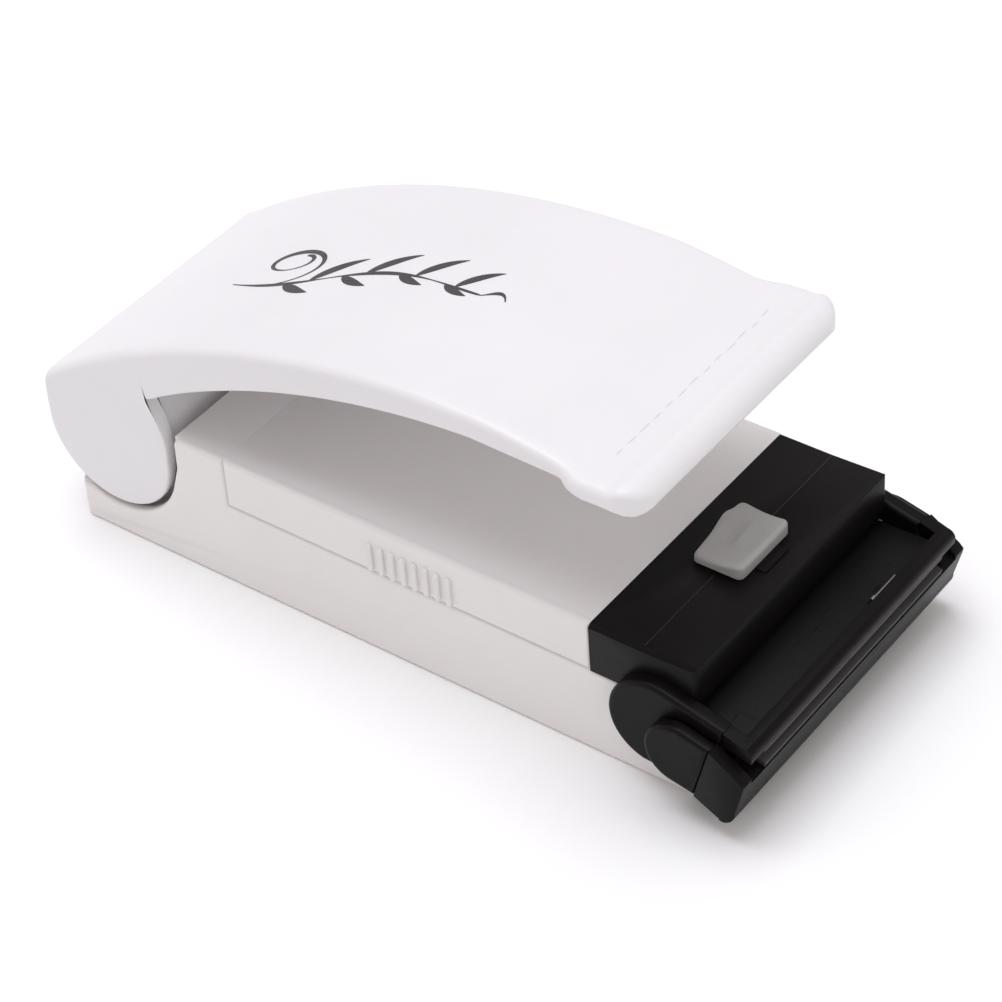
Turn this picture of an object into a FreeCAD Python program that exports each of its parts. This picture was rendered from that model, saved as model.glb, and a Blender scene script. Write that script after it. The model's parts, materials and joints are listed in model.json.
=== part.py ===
"""Handheld bag heat sealer: a battery body, a press lever and a jaw that closes on a bag.

Frame: +X towards the jaw, +Z up, +Y to the side. The origin is on the resting plane, at
the middle of the width, under the line where the white body meets the black head.
All sizes are in millimetres.
"""
import FreeCAD, Part
import math
import os

V = FreeCAD.Vector
os.makedirs("parts", exist_ok=True)

# ---------------------------------------------------------------- driving dimensions
BODY_WIDTH = 40.0        # outside width of the white body
BODY_HEIGHT = 19.5       # resting plane to the flat top
BODY_LENGTH = 78.5       # head line to the rear lip
HEAD_LENGTH = 14.5       # black head, forward of the head line
WALL = 1.6               # casing wall
FLOOR = 2.2              # casing floor, thick enough to hold the door in its grooves
PARTING_HEIGHT = 12.5    # line between the lower casing and what covers it
PANEL_LENGTH = 53.3      # upper casing, head line to its rear edge
EDGE_ROUND = 0.8

CELL_DIAMETER = 14.5     # AA cell
CELL_LENGTH = 50.5       # AA cell with its nub
CELL_GAP = 0.3           # air between the two cells, and under them
NUB_DIAMETER = 5.5
NUB_LENGTH = 1.0
CONTACT_THICKNESS = 0.4
SPRING_LENGTH = 3.2      # a contact spring with its cell in place
BAY_WALL = 0.9
BAY_END_WALL = 1.2
BAY_FRONT_SETBACK = 4.9  # head line to the bay's front contacts

HINGE_SETBACK = 6.5      # lever hinge, forward of the rear lip
HINGE_DROP = 5.0         # lever hinge, below the flat top
HINGE_PIN_DIAMETER = 3.0
RUNNING_CLEARANCE = 0.05  # radial, for pins that turn or slide
EAR_RADIUS = 9.5         # round rear ears of the lever
LEVER_WALL = 1.8
LEVER_ARC_RADIUS = 110.2  # long arch of the lever's back
LEVER_REAR_REACH = 9.4   # rear corner of the arch, behind the hinge
LEVER_REAR_RISE = 6.6    # the same corner, above the hinge
LEVER_CREST_X = -15.0    # from the head line: where the arch ends
LEVER_CREST_RISE = 28.1  # above the hinge
LEVER_DIP_X = 0.8        # from the head line: low point before the lip
LEVER_DIP_RISE = 26.6
LIP_X = 8.2              # from the head line: front of the lip
LIP_RISE = 26.4
SKIRT_REAR_X = 7.1       # rear end of the side skirt's edge, forward of the hinge
SKIRT_REAR_DEPTH = 7.7   # skirt below the lever's back, at its rear
SKIRT_FRONT_DEPTH = 2.1  # the same, just behind the lip
LIP_LENGTH = 10.8
LIP_THICKNESS = 3.6
LIP_CORNER = 4.4         # plan radius of the lip's corners
LEVER_TRAVEL = 10.0      # degrees

CRANK_DROP = 5.2         # lever crank pin below the hinge
JAW_CRANK_RISE = 6.5     # jaw crank pin above the jaw pivot
CRANK_PIN_DIAMETER = 1.4
CRANK_THICKNESS = 1.1
LINK_THICKNESS = 1.0
LINK_HEIGHT = 2.4
SIDE_GAP = 0.2           # air between plates that slide past each other

JAW_X = 11.8             # jaw pivot
JAW_Z = 9.3
SHAFT_DIAMETER = 2.4
JAW_EAR_X = 9.5          # round rear of the fixed jaw ears
JAW_EAR_Z = 10.2
JAW_EAR_RADIUS = 6.1
JAW_EAR_THICKNESS = 1.8
JAW_SLOPE = 14.0         # degrees, fall of the jaw's edges towards the front
SEAL_SLOPE = 12.0        # degrees, fall of the sealing faces
JAW_FRONT = 22.7         # front face of the jaw bars
JAW_SEAM = 19.0          # seam between the fixed ears and the upper bar
ARM_X = 13.7             # round rear of the moving jaw arms
ARM_Z = 9.3
ARM_RADIUS = 4.2
ARM_THICKNESS = 1.8
SEAL_LENGTH = 36.0       # heated length of the sealing ribbon
RIBBON_WIDTH = 2.0
RIBBON_THICKNESS = 0.2
TAPE_THICKNESS = 0.2
PAD_WIDTH = 2.4
PAD_THICKNESS = 1.4
PAD_PROUD = 0.6          # pad above the lower bar
CLOSED_GAP = 0.06        # pad to tape with the jaw shut

BUTTON_LENGTH = 6.7
BUTTON_WIDTH = 10.0
BUTTON_HEIGHT = 2.5
BUTTON_REAR = 3.9        # head line to the rear of the slide button
BUTTON_TRAVEL = 3.0
BUTTON_STEM_LENGTH = 3.0
BUTTON_STEM_WIDTH = 4.0
BUTTON_AIR = 0.15        # around the stem, and under the button

DOOR_OVERLAP = 2.5       # battery door, past the front of the cell bay
DOOR_WIDTH = 30.0
DOOR_THICKNESS = 1.3
DOOR_TONGUE = 0.8        # side tongues that run in the casing's grooves
DOOR_CLEARANCE = 0.12

SCREW_DIAMETER = 2.0
SCREW_HEAD_DIAMETER = 4.0
SCREW_HEAD_HEIGHT = 1.2
SCREW_X = 4.0
SCREW_Y = 11.5
WIRE_DIAMETER = 1.1
LEAD_BEND = 1.7          # radius of the leads' bends, at the wire's middle

# ---------------------------------------------------------------- values worked out
HINGE_X = HINGE_SETBACK - BODY_LENGTH
HINGE_Z = BODY_HEIGHT - HINGE_DROP
LEVER_REAR_TOP = (HINGE_X - LEVER_REAR_REACH, HINGE_Z + LEVER_REAR_RISE)
LEVER_CREST = (LEVER_CREST_X, HINGE_Z + LEVER_CREST_RISE)
LEVER_DIP = (LEVER_DIP_X, HINGE_Z + LEVER_DIP_RISE)
LIP_TIP = (LIP_X, HINGE_Z + LIP_RISE)
HALF = BODY_WIDTH / 2
INNER = HALF - WALL
TOP_INNER = BODY_HEIGHT - WALL
BULKHEAD_X = HINGE_X + EAR_RADIUS + 1.5     # rear wall of the main body, clear of the ears
BAY_FRONT = -BAY_FRONT_SETBACK
BAY_REAR = BAY_FRONT - 2 * CONTACT_THICKNESS - SPRING_LENGTH - CELL_LENGTH + 0.8
CELL_Y = (CELL_DIAMETER + CELL_GAP) / 2
CELL_Z = FLOOR + CELL_GAP + CELL_DIAMETER / 2
BAY_HALF = CELL_DIAMETER + CELL_GAP
DOOR_FRONT = BAY_FRONT + DOOR_OVERLAP
LINK_OUT = INNER - 1.2                      # outer face of the pull links
LINK_IN = LINK_OUT - LINK_THICKNESS
CRANK_OUT = LINK_IN - SIDE_GAP
CRANK_IN = CRANK_OUT - CRANK_THICKNESS
PIN_END = LINK_OUT + 0.4
PILLAR_OUT = CRANK_IN - 0.5
PILLAR_THICKNESS = 2.0
PIN_R = CRANK_PIN_DIAMETER / 2
HEAD_WALL = 1.2
JAW_TRAVEL = LEVER_TRAVEL * CRANK_DROP / JAW_CRANK_RISE
JAW_EAR_OUT = HALF + JAW_EAR_THICKNESS
ARM_IN = JAW_EAR_OUT + 0.1
ARM_OUT = ARM_IN + ARM_THICKNESS
UPPER_FACE_Z = 11.25                        # underside of the upper bar at its front
SEAL_TAN = math.tan(math.radians(SEAL_SLOPE))
JAW_TAN = math.tan(math.radians(JAW_SLOPE))


# ---------------------------------------------------------------- helpers
def box(x0, x1, y0, y1, z0, z1):
    """Block between two corners."""
    return Part.makeBox(x1 - x0, y1 - y0, z1 - z0, V(x0, y0, z0))


def rod(x, y0, y1, z, radius):
    """Cylinder along Y."""
    return Part.makeCylinder(radius, y1 - y0, V(x, y0, z), V(0, 1, 0))


def outline(start, steps):
    """Closed wire in the XZ plane. A step is a point, or ("arc", middle, end)."""
    edges = []
    here = V(start[0], 0, start[1])
    for step in steps + [start]:
        if step[0] == "arc":
            middle = V(step[1][0], 0, step[1][1])
            end = V(step[2][0], 0, step[2][1])
            edges.append(Part.Arc(here, middle, end).toShape())
        else:
            end = V(step[0], 0, step[1])
            if end.distanceToPoint(here) > 1e-6:
                edges.append(Part.makeLine(here, end))
        here = end
    return Part.Wire(edges)


def slab(wire, y0, y1):
    """Solid between two Y planes with the given XZ outline."""
    face = Part.Face(wire)
    face.translate(V(0, y0, 0))
    return face.extrude(V(0, y1 - y0, 0))


def flipped(shape):
    """The same piece on the other side of the object."""
    return shape.mirror(V(0, 0, 0), V(0, 1, 0))


def both(shape):
    """The shape and its mirror image, as one."""
    return shape.fuse(flipped(shape))


def turned(shape, x, z, angle):
    """Turned about a line along Y. A positive angle lowers the front."""
    copy = shape.copy()
    copy.rotate(V(x, 0, z), V(0, 1, 0), angle)
    return copy


def on_circle(x, z, radius, angle):
    """Point on a circle in the XZ plane, angle in degrees from +X towards +Z."""
    turn = math.radians(angle)
    return (x + radius * math.cos(turn), z + radius * math.sin(turn))


def edges_where(shape, test):
    """Edges whose middle point passes the test."""
    found = []
    for edge in shape.Edges:
        middle = edge.valueAt((edge.FirstParameter + edge.LastParameter) / 2)
        if test(middle):
            found.append(edge)
    return found


def near(a, b):
    return abs(a - b) < 1e-3


def wound_spring(wire_r, coil_r, pitch, turns, first_leg, last_leg):
    """Coil about Z from z = 0, with a straight leg along the wire at each end."""
    height = pitch * turns
    rise = pitch / (2 * math.pi * coil_r)
    start = V(coil_r, -first_leg, -first_leg * rise)
    end = V(coil_r, last_leg, height + last_leg * rise)
    edges = [Part.makeLine(start, V(coil_r, 0, 0))]
    edges += Part.makeHelix(pitch, height, coil_r).Edges
    edges.append(Part.makeLine(V(coil_r, 0, height), end))
    section = Part.Wire(Part.makeCircle(wire_r, start, V(0, 1, rise)))
    return Part.Wire(edges).makePipeShell([section], True, True)


def save(name, shape):
    """One STEP file per piece, with seam lines of earlier unions cleaned away."""
    clean = shape.removeSplitter()
    solids = clean.Solids
    volume = sum(s.Volume for s in solids)
    print("%-26s solids %d  volume %9.2f" % (name, len(solids), volume))
    result = solids[0] if len(solids) == 1 else Part.makeCompound(solids)
    result.exportStep("parts/%s.step" % name)


# ---------------------------------------------------------------- body
CRADLE_Z = 3.0           # floor of the open rear, where the lever's ears turn
LIP_HEIGHT = 5.4         # rear lip
LIP_DEPTH = 1.6
CRADLE_ROUND = 4.5


def cradle_cut():
    """Everything that is open above the rear cradle."""
    rear = -BODY_LENGTH
    high = BODY_HEIGHT + 1
    inner = BULKHEAD_X - CRADLE_ROUND
    mid = on_circle(inner, CRADLE_Z + CRADLE_ROUND, CRADLE_ROUND, -45)
    wire = outline((rear - 1, high), [
        (rear - 1, LIP_HEIGHT), (rear + LIP_DEPTH, LIP_HEIGHT),
        (rear + LIP_DEPTH + 1.9, CRADLE_Z), (inner, CRADLE_Z),
        ("arc", mid, (BULKHEAD_X, CRADLE_Z + CRADLE_ROUND)), (BULKHEAD_X, high)])
    return slab(wire, -HALF - 1, HALF + 1)


def door_space():
    """Recess for the door, with its tongue grooves, open to the rear."""
    half = DOOR_WIDTH / 2 + DOOR_CLEARANCE
    front = DOOR_FRONT + DOOR_CLEARANCE
    rear = -BODY_LENGTH - 1
    plate = box(rear, front, -half, half, -1, DOOR_THICKNESS + DOOR_CLEARANCE)
    groove = box(rear, front, -half - DOOR_TONGUE, half + DOOR_TONGUE,
                 tongue_low() - DOOR_CLEARANCE, DOOR_THICKNESS + DOOR_CLEARANCE)
    return plate.fuse(groove)


def tongue_low():
    """Underside of the door's side tongues."""
    return DOOR_THICKNESS - 0.5


def link_line(x):
    """Height of the pull link's centre line."""
    low = HINGE_Z - CRANK_DROP
    high = JAW_Z + JAW_CRANK_RISE
    return low + (high - low) * (x - HINGE_X) / (JAW_X - HINGE_X)


def link_window(x0, x1):
    """Room for both links through a cross wall."""
    high = max(link_line(x0), link_line(x1)) + LINK_HEIGHT / 2 + 0.6
    low = min(link_line(x0), link_line(x1)) - LINK_HEIGHT / 2 - 0.6
    return both(box(x0 - 0.1, x1 + 0.1, CRANK_OUT - 0.4, INNER, low, high))


def make_lower_casing():
    front = HEAD_LENGTH - 0.4
    panel = -PANEL_LENGTH
    shell = box(-BODY_LENGTH, front, -HALF, HALF, 0, BODY_HEIGHT)
    shell = shell.makeFillet(1.4, edges_where(
        shell, lambda p: near(p.x, -BODY_LENGTH) and near(abs(p.y), HALF)))
    shell = shell.makeFillet(EDGE_ROUND, edges_where(
        shell, lambda p: near(p.z, 0) and not near(p.x, front)))
    shell = shell.cut(box(panel, front + 1, -HALF - 1, HALF + 1, PARTING_HEIGHT, BODY_HEIGHT + 1))
    shell = shell.cut(cradle_cut())
    rear_bay = BULKHEAD_X + WALL
    shell = shell.cut(box(rear_bay, panel + 0.01, -INNER, INNER, FLOOR, TOP_INNER))
    shell = shell.cut(box(panel, front + 1, -INNER, INNER, FLOOR, BODY_HEIGHT))
    shell = shell.cut(link_window(BULKHEAD_X, rear_bay))
    shell = shell.cut(door_space())
    # opening above the door, through which the cells go in
    shell = shell.cut(box(BAY_REAR, BAY_FRONT, -BAY_HALF + 0.9, BAY_HALF - 0.9, -1, FLOOR + 1))
    # battery bay: two side walls, a rib at each end
    bay_top = CELL_Z + 2.0
    side = both(box(BAY_REAR, BAY_FRONT, BAY_HALF, BAY_HALF + BAY_WALL, FLOOR - 0.3, bay_top))
    shell = shell.fuse(side)
    for x in (BAY_REAR - BAY_END_WALL, BAY_FRONT):
        shell = shell.fuse(box(x, x + BAY_END_WALL, -BAY_HALF - BAY_WALL, BAY_HALF + BAY_WALL,
                               FLOOR - 0.3, bay_top))
    # pillars that carry the hinge pin
    pin_r = HINGE_PIN_DIAMETER / 2
    pillar = slab(outline((HINGE_X - 5.0, CRADLE_Z - 0.2), [
        (HINGE_X + 5.0, CRADLE_Z - 0.2), (HINGE_X + 3.2, HINGE_Z),
        ("arc", (HINGE_X, HINGE_Z + 3.2), (HINGE_X - 3.2, HINGE_Z))]),
        PILLAR_OUT - PILLAR_THICKNESS, PILLAR_OUT)
    shell = shell.fuse(both(pillar))
    shell = shell.cut(rod(HINGE_X, -HALF, HALF, HINGE_Z, pin_r))
    # jaw shaft holes and screw bosses
    shell = shell.cut(rod(JAW_X, -HALF - 1, HALF + 1, JAW_Z, SHAFT_DIAMETER / 2 + RUNNING_CLEARANCE))
    for y in (-SCREW_Y, SCREW_Y):
        boss = Part.makeCylinder(2.8, PARTING_HEIGHT - FLOOR + 0.3, V(SCREW_X, y, FLOOR - 0.3))
        shell = shell.fuse(boss)
        shell = shell.cut(Part.makeCylinder(SCREW_DIAMETER / 2, BODY_HEIGHT, V(SCREW_X, y, -1)))
        shell = shell.cut(Part.makeCylinder(SCREW_HEAD_DIAMETER / 2, SCREW_HEAD_HEIGHT + 1.3,
                                            V(SCREW_X, y, -1)))
    return shell


RIB_COUNT = 8
RIB_PITCH = 1.64
RIB_WIDTH = 0.7
RIB_PROUD = 0.5
RIB_START = -31.5
RIB_LOW = 12.9
RIB_HIGH = 17.0


def make_upper_casing():
    shell = box(-PANEL_LENGTH, 0, -HALF, HALF, PARTING_HEIGHT, BODY_HEIGHT)
    shell = shell.makeFillet(EDGE_ROUND, edges_where(
        shell, lambda p: near(abs(p.y), HALF) and near(p.z, BODY_HEIGHT)))
    shell = shell.makeChamfer(0.25, edges_where(
        shell, lambda p: near(abs(p.y), HALF) and near(p.z, PARTING_HEIGHT)))
    shell = shell.cut(box(-PANEL_LENGTH - 1, 1, -INNER, INNER, PARTING_HEIGHT - 1, TOP_INNER))
    for index in range(RIB_COUNT):
        x = RIB_START + index * RIB_PITCH
        rib = box(x - RIB_WIDTH / 2, x + RIB_WIDTH / 2, HALF - 0.3, HALF + RIB_PROUD,
                  RIB_LOW, RIB_HIGH)
        outer = edges_where(rib, lambda p: near(p.y, HALF + RIB_PROUD))
        shell = shell.fuse(both(rib.makeFillet(0.2, outer)))
    return shell


HEAD_RISE = 0.25         # the front half of the head's top slopes up a little


def make_head_cover():
    front = HEAD_LENGTH
    low_front = front - 0.8
    side = outline((0, PARTING_HEIGHT), [
        (low_front, PARTING_HEIGHT), (front, PARTING_HEIGHT + 2.1),
        (front, BODY_HEIGHT + HEAD_RISE), (front / 2, BODY_HEIGHT), (0, BODY_HEIGHT)])
    cover = slab(side, -HALF, HALF)
    cover = cover.makeChamfer(0.5, edges_where(
        cover, lambda p: near(abs(p.y), HALF) and p.z > BODY_HEIGHT - 0.01))
    cover = cover.makeFillet(0.9, edges_where(
        cover, lambda p: near(p.x, front) and near(abs(p.y), HALF)))
    cover = cover.cut(box(-1, front - HEAD_WALL, -INNER, INNER, PARTING_HEIGHT - 1, TOP_INNER))
    # slot for the slide button's stem
    stem_rear = BUTTON_REAR + (BUTTON_LENGTH - BUTTON_STEM_LENGTH) / 2
    cover = cover.cut(box(stem_rear - BUTTON_AIR, stem_rear + BUTTON_STEM_LENGTH + BUTTON_TRAVEL + BUTTON_AIR,
                          -BUTTON_STEM_WIDTH / 2 - BUTTON_AIR, BUTTON_STEM_WIDTH / 2 + BUTTON_AIR,
                          TOP_INNER - 1, BODY_HEIGHT + 1))
    for y in (-SCREW_Y, SCREW_Y):
        boss = Part.makeCylinder(2.8, TOP_INNER - PARTING_HEIGHT + 0.3, V(SCREW_X, y, PARTING_HEIGHT))
        boss = boss.cut(Part.makeCylinder(SCREW_DIAMETER / 2, 4.0, V(SCREW_X, y, PARTING_HEIGHT - 0.1)))
        cover = cover.fuse(boss)
    return cover


PLATE_THICKNESS = 1.2


def make_front_plate():
    rear = HEAD_LENGTH - 0.4
    plate = box(rear, rear + PLATE_THICKNESS, -HALF + 0.2, HALF - 0.2, 0.4, PARTING_HEIGHT - 0.1)
    return plate.makeFillet(0.4, edges_where(plate, lambda p: near(p.x, rear + PLATE_THICKNESS)))


def screw(x, y):
    """Self-tapping screw, head down in the casing floor."""
    head = Part.makeCylinder(SCREW_HEAD_DIAMETER / 2, SCREW_HEAD_HEIGHT,
                             V(x, y, 0.3))
    shank = Part.makeCylinder(SCREW_DIAMETER / 2, PARTING_HEIGHT + 3.5 - 1.0, V(x, y, 1.0))
    slot_a = box(x - 1.2, x + 1.2, y - 0.25, y + 0.25, 0, 0.8)
    slot_b = box(x - 0.25, x + 0.25, y - 1.2, y + 1.2, 0, 0.8)
    return head.fuse(shank).cut(slot_a).cut(slot_b)


# ---------------------------------------------------------------- battery door
def make_battery_door():
    half = DOOR_WIDTH / 2
    rear = -BODY_LENGTH
    front = DOOR_FRONT
    plate = box(rear, front, -half, half, 0, DOOR_THICKNESS)
    plate = plate.fuse(box(rear + 2, front, -half - DOOR_TONGUE, half + DOOR_TONGUE,
                           tongue_low(), DOOR_THICKNESS))
    # shallow finger ridges near the front edge
    for index in range(5):
        x = front - 6 - index * 1.8
        plate = plate.cut(box(x, x + 0.8, -8, 8, -1, 0.4))
    return plate


# ---------------------------------------------------------------- cells and contacts
def cell(y, forward):
    """One cell lying along X, with its nub forward or rearward."""
    low = BAY_FRONT - CONTACT_THICKNESS - CELL_LENGTH
    if not forward:
        low = BAY_REAR + CONTACT_THICKNESS
    radius = CELL_DIAMETER / 2
    can_start = low if forward else low + NUB_LENGTH
    nub_start = low + CELL_LENGTH - NUB_LENGTH if forward else low
    can = Part.makeCylinder(radius, CELL_LENGTH - NUB_LENGTH, V(can_start, y, CELL_Z), V(1, 0, 0))
    can = can.makeFillet(0.5, [e for e in can.Edges if near(e.Length, 2 * math.pi * radius)])
    nub = Part.makeCylinder(NUB_DIAMETER / 2, NUB_LENGTH, V(nub_start, y, CELL_Z), V(1, 0, 0))
    return can.fuse(nub)


def contact_plate(x, y0, y1):
    """Flat contact that stands against an end wall of the bay."""
    return box(x, x + CONTACT_THICKNESS, y0, y1, FLOOR + 0.4, CELL_Z + 1.6)


def contact_spring(x, y, turns):
    """Coil between a contact plate and the flat end of a cell."""
    wire_r = 0.25
    foot = 1.0
    coil_r = 2.8
    room = BAY_FRONT - BAY_REAR - 2 * CONTACT_THICKNESS - CELL_LENGTH - 2 * wire_r
    rise = room / (turns * 2 * math.pi * coil_r + 2 * foot)
    coil = wound_spring(wire_r, coil_r, rise * 2 * math.pi * coil_r, turns, foot, foot)
    coil.rotate(V(0, 0, 0), V(0, 1, 0), 90)
    coil.translate(V(x + wire_r + foot * rise, y, CELL_Z))
    return coil


# ---------------------------------------------------------------- lever
def arch_centre():
    """Centre of the long arch through the rear corner and the crest."""
    ax, az = LEVER_REAR_TOP
    bx, bz = LEVER_CREST
    half = math.hypot(bx - ax, bz - az) / 2
    drop = math.sqrt(LEVER_ARC_RADIUS ** 2 - half ** 2)
    ux, uz = (bx - ax) / (2 * half), (bz - az) / (2 * half)
    return ((ax + bx) / 2 + uz * drop, (az + bz) / 2 - ux * drop)


def arch_height(x, inset):
    """Height of the arch, or of a line set in below it, at x."""
    cx, cz = arch_centre()
    return cz + math.sqrt((LEVER_ARC_RADIUS - inset) ** 2 - (x - cx) ** 2)


def lever_back(inset, x_start, x_end):
    """Edges of the lever's back, set in by a wall: arch, fall to the dip, rise to the lip."""
    crest, dip, tip = LEVER_CREST, LEVER_DIP, LIP_TIP
    start = V(x_start, 0, arch_height(x_start, inset))
    middle_x = (x_start + crest[0]) / 2
    middle = V(middle_x, 0, arch_height(middle_x, inset))
    end = V(crest[0], 0, arch_height(crest[0], inset))
    arch = Part.Arc(start, middle, end).toShape()
    cx, cz = arch_centre()
    tangent = V(cz - end.z, 0, end.x - cx) * -1
    tangent.normalize()
    curve = Part.BSplineCurve()
    points = [end, V(dip[0] - 5, 0, dip[1] - inset + 0.35), V(dip[0], 0, dip[1] - inset)]
    last = V(1, 0, 0)
    if x_end > dip[0] + 1:
        points.append(V(x_end, 0, tip[1] - inset + 1.1))
        last = V(0.97, 0, 0.1)
    curve.interpolate(points, InitialTangent=tangent, FinalTangent=last)
    return [arch, curve.toShape()]


SKIRT_STEPS = 6


def back_height(x):
    """Height of the lever's back: the arch, then a straight fall to the dip."""
    if x <= LEVER_CREST[0]:
        return arch_height(x, 0)
    share = (x - LEVER_CREST[0]) / (LEVER_DIP[0] - LEVER_CREST[0])
    return LEVER_CREST[1] + share * (LEVER_DIP[1] - LEVER_CREST[1])


def skirt_points():
    """Lower edge of the side skirt, from just behind the lip to the rear corner."""
    rear = HINGE_X + SKIRT_REAR_X
    front = LIP_TIP[0] - LIP_LENGTH
    points = []
    for step in range(SKIRT_STEPS):
        share = 1 - step / (SKIRT_STEPS - 1)
        x = rear + share * (front - rear)
        depth = SKIRT_REAR_DEPTH + share ** 0.8 * (SKIRT_FRONT_DEPTH - SKIRT_REAR_DEPTH)
        points.append(V(x, 0, back_height(x) - depth))
    return points


def lever_outline():
    """Side view of the lever, ears and lip included."""
    rear, tip = LEVER_REAR_TOP, LIP_TIP
    edges = lever_back(0, rear[0], tip[0] - 1.1)
    nose_top = edges[-1].Vertexes[-1].Point
    nose = V(tip[0], 0, tip[1] - 0.3)
    nose_low = V(tip[0] - 1.0, 0, nose_top.z - LIP_THICKNESS)
    edges.append(Part.Arc(nose_top, nose, nose_low).toShape())
    lip_rear = V(tip[0] - LIP_LENGTH, 0, nose_low.z)
    edges.append(Part.makeLine(nose_low, lip_rear))
    skirt = skirt_points()
    edges.append(Part.makeLine(lip_rear, skirt[0]))
    curve = Part.BSplineCurve()
    curve.interpolate(skirt)
    edges.append(curve.toShape())
    neck = [V(HINGE_X + 8.6, 0, HINGE_Z + 6.6), V(HINGE_X + 9.6, 0, HINGE_Z + 4.2),
            V(HINGE_X + EAR_RADIUS, 0, HINGE_Z)]
    neck_curve = Part.BSplineCurve()
    neck_curve.interpolate([skirt[-1]] + neck)
    edges.append(neck_curve.toShape())
    low = V(HINGE_X, 0, HINGE_Z - EAR_RADIUS)
    back = V(HINGE_X - EAR_RADIUS, 0, HINGE_Z)
    edges.append(Part.Arc(neck[-1], low, back).toShape())
    edges.append(Part.makeLine(back, V(rear[0], 0, rear[1])))
    return Part.Wire(edges)


def lever_hollow():
    """Inside of the lever: below the back, in front of the rear wall, open underneath."""
    rear_x = HINGE_X - EAR_RADIUS + LEVER_WALL
    front_x = LIP_TIP[0] - LIP_LENGTH - LEVER_WALL
    edges = lever_back(LEVER_WALL, rear_x + 0.6, front_x)
    start = edges[0].Vertexes[0].Point
    end = edges[-1].Vertexes[-1].Point
    edges.append(Part.makeLine(end, V(end.x, 0, 0)))
    edges.append(Part.makeLine(V(end.x, 0, 0), V(rear_x, 0, 0)))
    edges.append(Part.makeLine(V(rear_x, 0, 0), V(rear_x, 0, HINGE_Z)))
    edges.append(Part.makeLine(V(rear_x, 0, HINGE_Z), start))
    return Part.Wire(edges)


def make_lever_shell():
    inner = HALF - LEVER_WALL
    tip_x = LIP_TIP[0]
    shell = slab(lever_outline(), -HALF, HALF)
    plan = box(-BODY_LENGTH - 20, tip_x, -HALF, HALF, -1, 80)
    plan = plan.makeFillet(LIP_CORNER, edges_where(
        plan, lambda p: near(p.x, tip_x) and near(abs(p.y), HALF)))
    back_round = [e for e in shell.Edges if on_back(e)]
    shell = shell.makeFillet(1.1, back_round)
    shell = shell.common(plan)
    shell = shell.cut(slab(lever_hollow(), -inner, inner))
    # the rear wall stops above the casing's lip
    shell = shell.cut(box(HINGE_X - 20, HINGE_X, -inner, inner, 0, LIP_HEIGHT + 3.0))
    # inner webs that carry the crank pins, hung from the back of the lever
    web = slab(outline((HINGE_X - 1.9, HINGE_Z - CRANK_DROP), [
        ("arc", (HINGE_X, HINGE_Z - CRANK_DROP - 1.9), (HINGE_X + 1.9, HINGE_Z - CRANK_DROP)),
        (HINGE_X + 3.5, HINGE_Z), (HINGE_X + 3.5, arch_height(HINGE_X + 3.5, 1.0)),
        (HINGE_X - 3.5, arch_height(HINGE_X - 3.5, 1.0)), (HINGE_X - 3.5, HINGE_Z)]),
        CRANK_IN, CRANK_OUT)
    shell = shell.fuse(both(web))
    # blind holes for the hinge pin, and holes for the crank pins
    pin = HINGE_PIN_DIAMETER / 2 + RUNNING_CLEARANCE
    shell = shell.cut(rod(HINGE_X, -HALF + 0.7, HALF - 0.7, HINGE_Z, pin))
    shell = shell.cut(rod(HINGE_X, -CRANK_OUT - 0.1, CRANK_OUT + 0.1, HINGE_Z - CRANK_DROP, PIN_R))
    return shell


def on_back(edge):
    """Long side edges along the lever's back and lip."""
    if edge.Length < 8:
        return False
    for vertex in edge.Vertexes:
        p = vertex.Point
        if not near(abs(p.y), HALF):
            return False
        if p.z < LEVER_REAR_TOP[1] - 0.1:
            return False
    middle = edge.valueAt((edge.FirstParameter + edge.LastParameter) / 2)
    if middle.x < LEVER_CREST[0]:
        return middle.z > arch_height(middle.x, 0.2)
    return middle.z > LEVER_DIP[1] - 0.6


# ---------------------------------------------------------------- links and cranks
def make_pull_link():
    """Flat bar from the lever crank to the jaw crank, with an upright slot at each end."""
    ends = ((HINGE_X, HINGE_Z - CRANK_DROP), (JAW_X, JAW_Z + JAW_CRANK_RISE))
    half = LINK_HEIGHT / 2
    bar = outline((ends[0][0], ends[0][1] - half), [
        (ends[1][0], ends[1][1] - half), (ends[1][0], ends[1][1] + half),
        (ends[0][0], ends[0][1] + half)])
    link = slab(bar, LINK_IN, LINK_OUT)
    for x, z in ends:
        eye = box(x - PIN_R - 0.55, x + PIN_R + 0.55, LINK_IN, LINK_OUT,
                  z - PIN_R - 1.05, z + PIN_R + 1.05)
        link = link.fuse(eye)
    for x, z in ends:
        slot_r = PIN_R + RUNNING_CLEARANCE
        slot = box(x - slot_r, x + slot_r, LINK_IN - 1, LINK_OUT + 1, z - PIN_R - 0.3, z + PIN_R + 0.3)
        link = link.cut(slot)
    return link


def make_lever_crank_pin():
    """Headed steel pin pressed into the lever's web."""
    z = HINGE_Z - CRANK_DROP
    return rod(HINGE_X, CRANK_IN, PIN_END, z, PIN_R)


def make_jaw_crank():
    """Arm fixed on the jaw shaft, with the pin that the link pulls."""
    top = JAW_Z + JAW_CRANK_RISE
    half = PIN_R + 0.45
    arm = slab(outline((JAW_X - half, JAW_Z), [
        (JAW_X + half, JAW_Z), (JAW_X + half, top),
        ("arc", (JAW_X, top + half), (JAW_X - half, top))]), CRANK_IN, CRANK_OUT)
    arm = arm.fuse(rod(JAW_X, CRANK_IN, CRANK_OUT, JAW_Z, SHAFT_DIAMETER / 2 + 0.8))
    arm = arm.fuse(rod(JAW_X, CRANK_IN, PIN_END, top, PIN_R))
    return arm.cut(rod(JAW_X, CRANK_IN - 1, CRANK_OUT + 1, JAW_Z, SHAFT_DIAMETER / 2))


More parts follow.
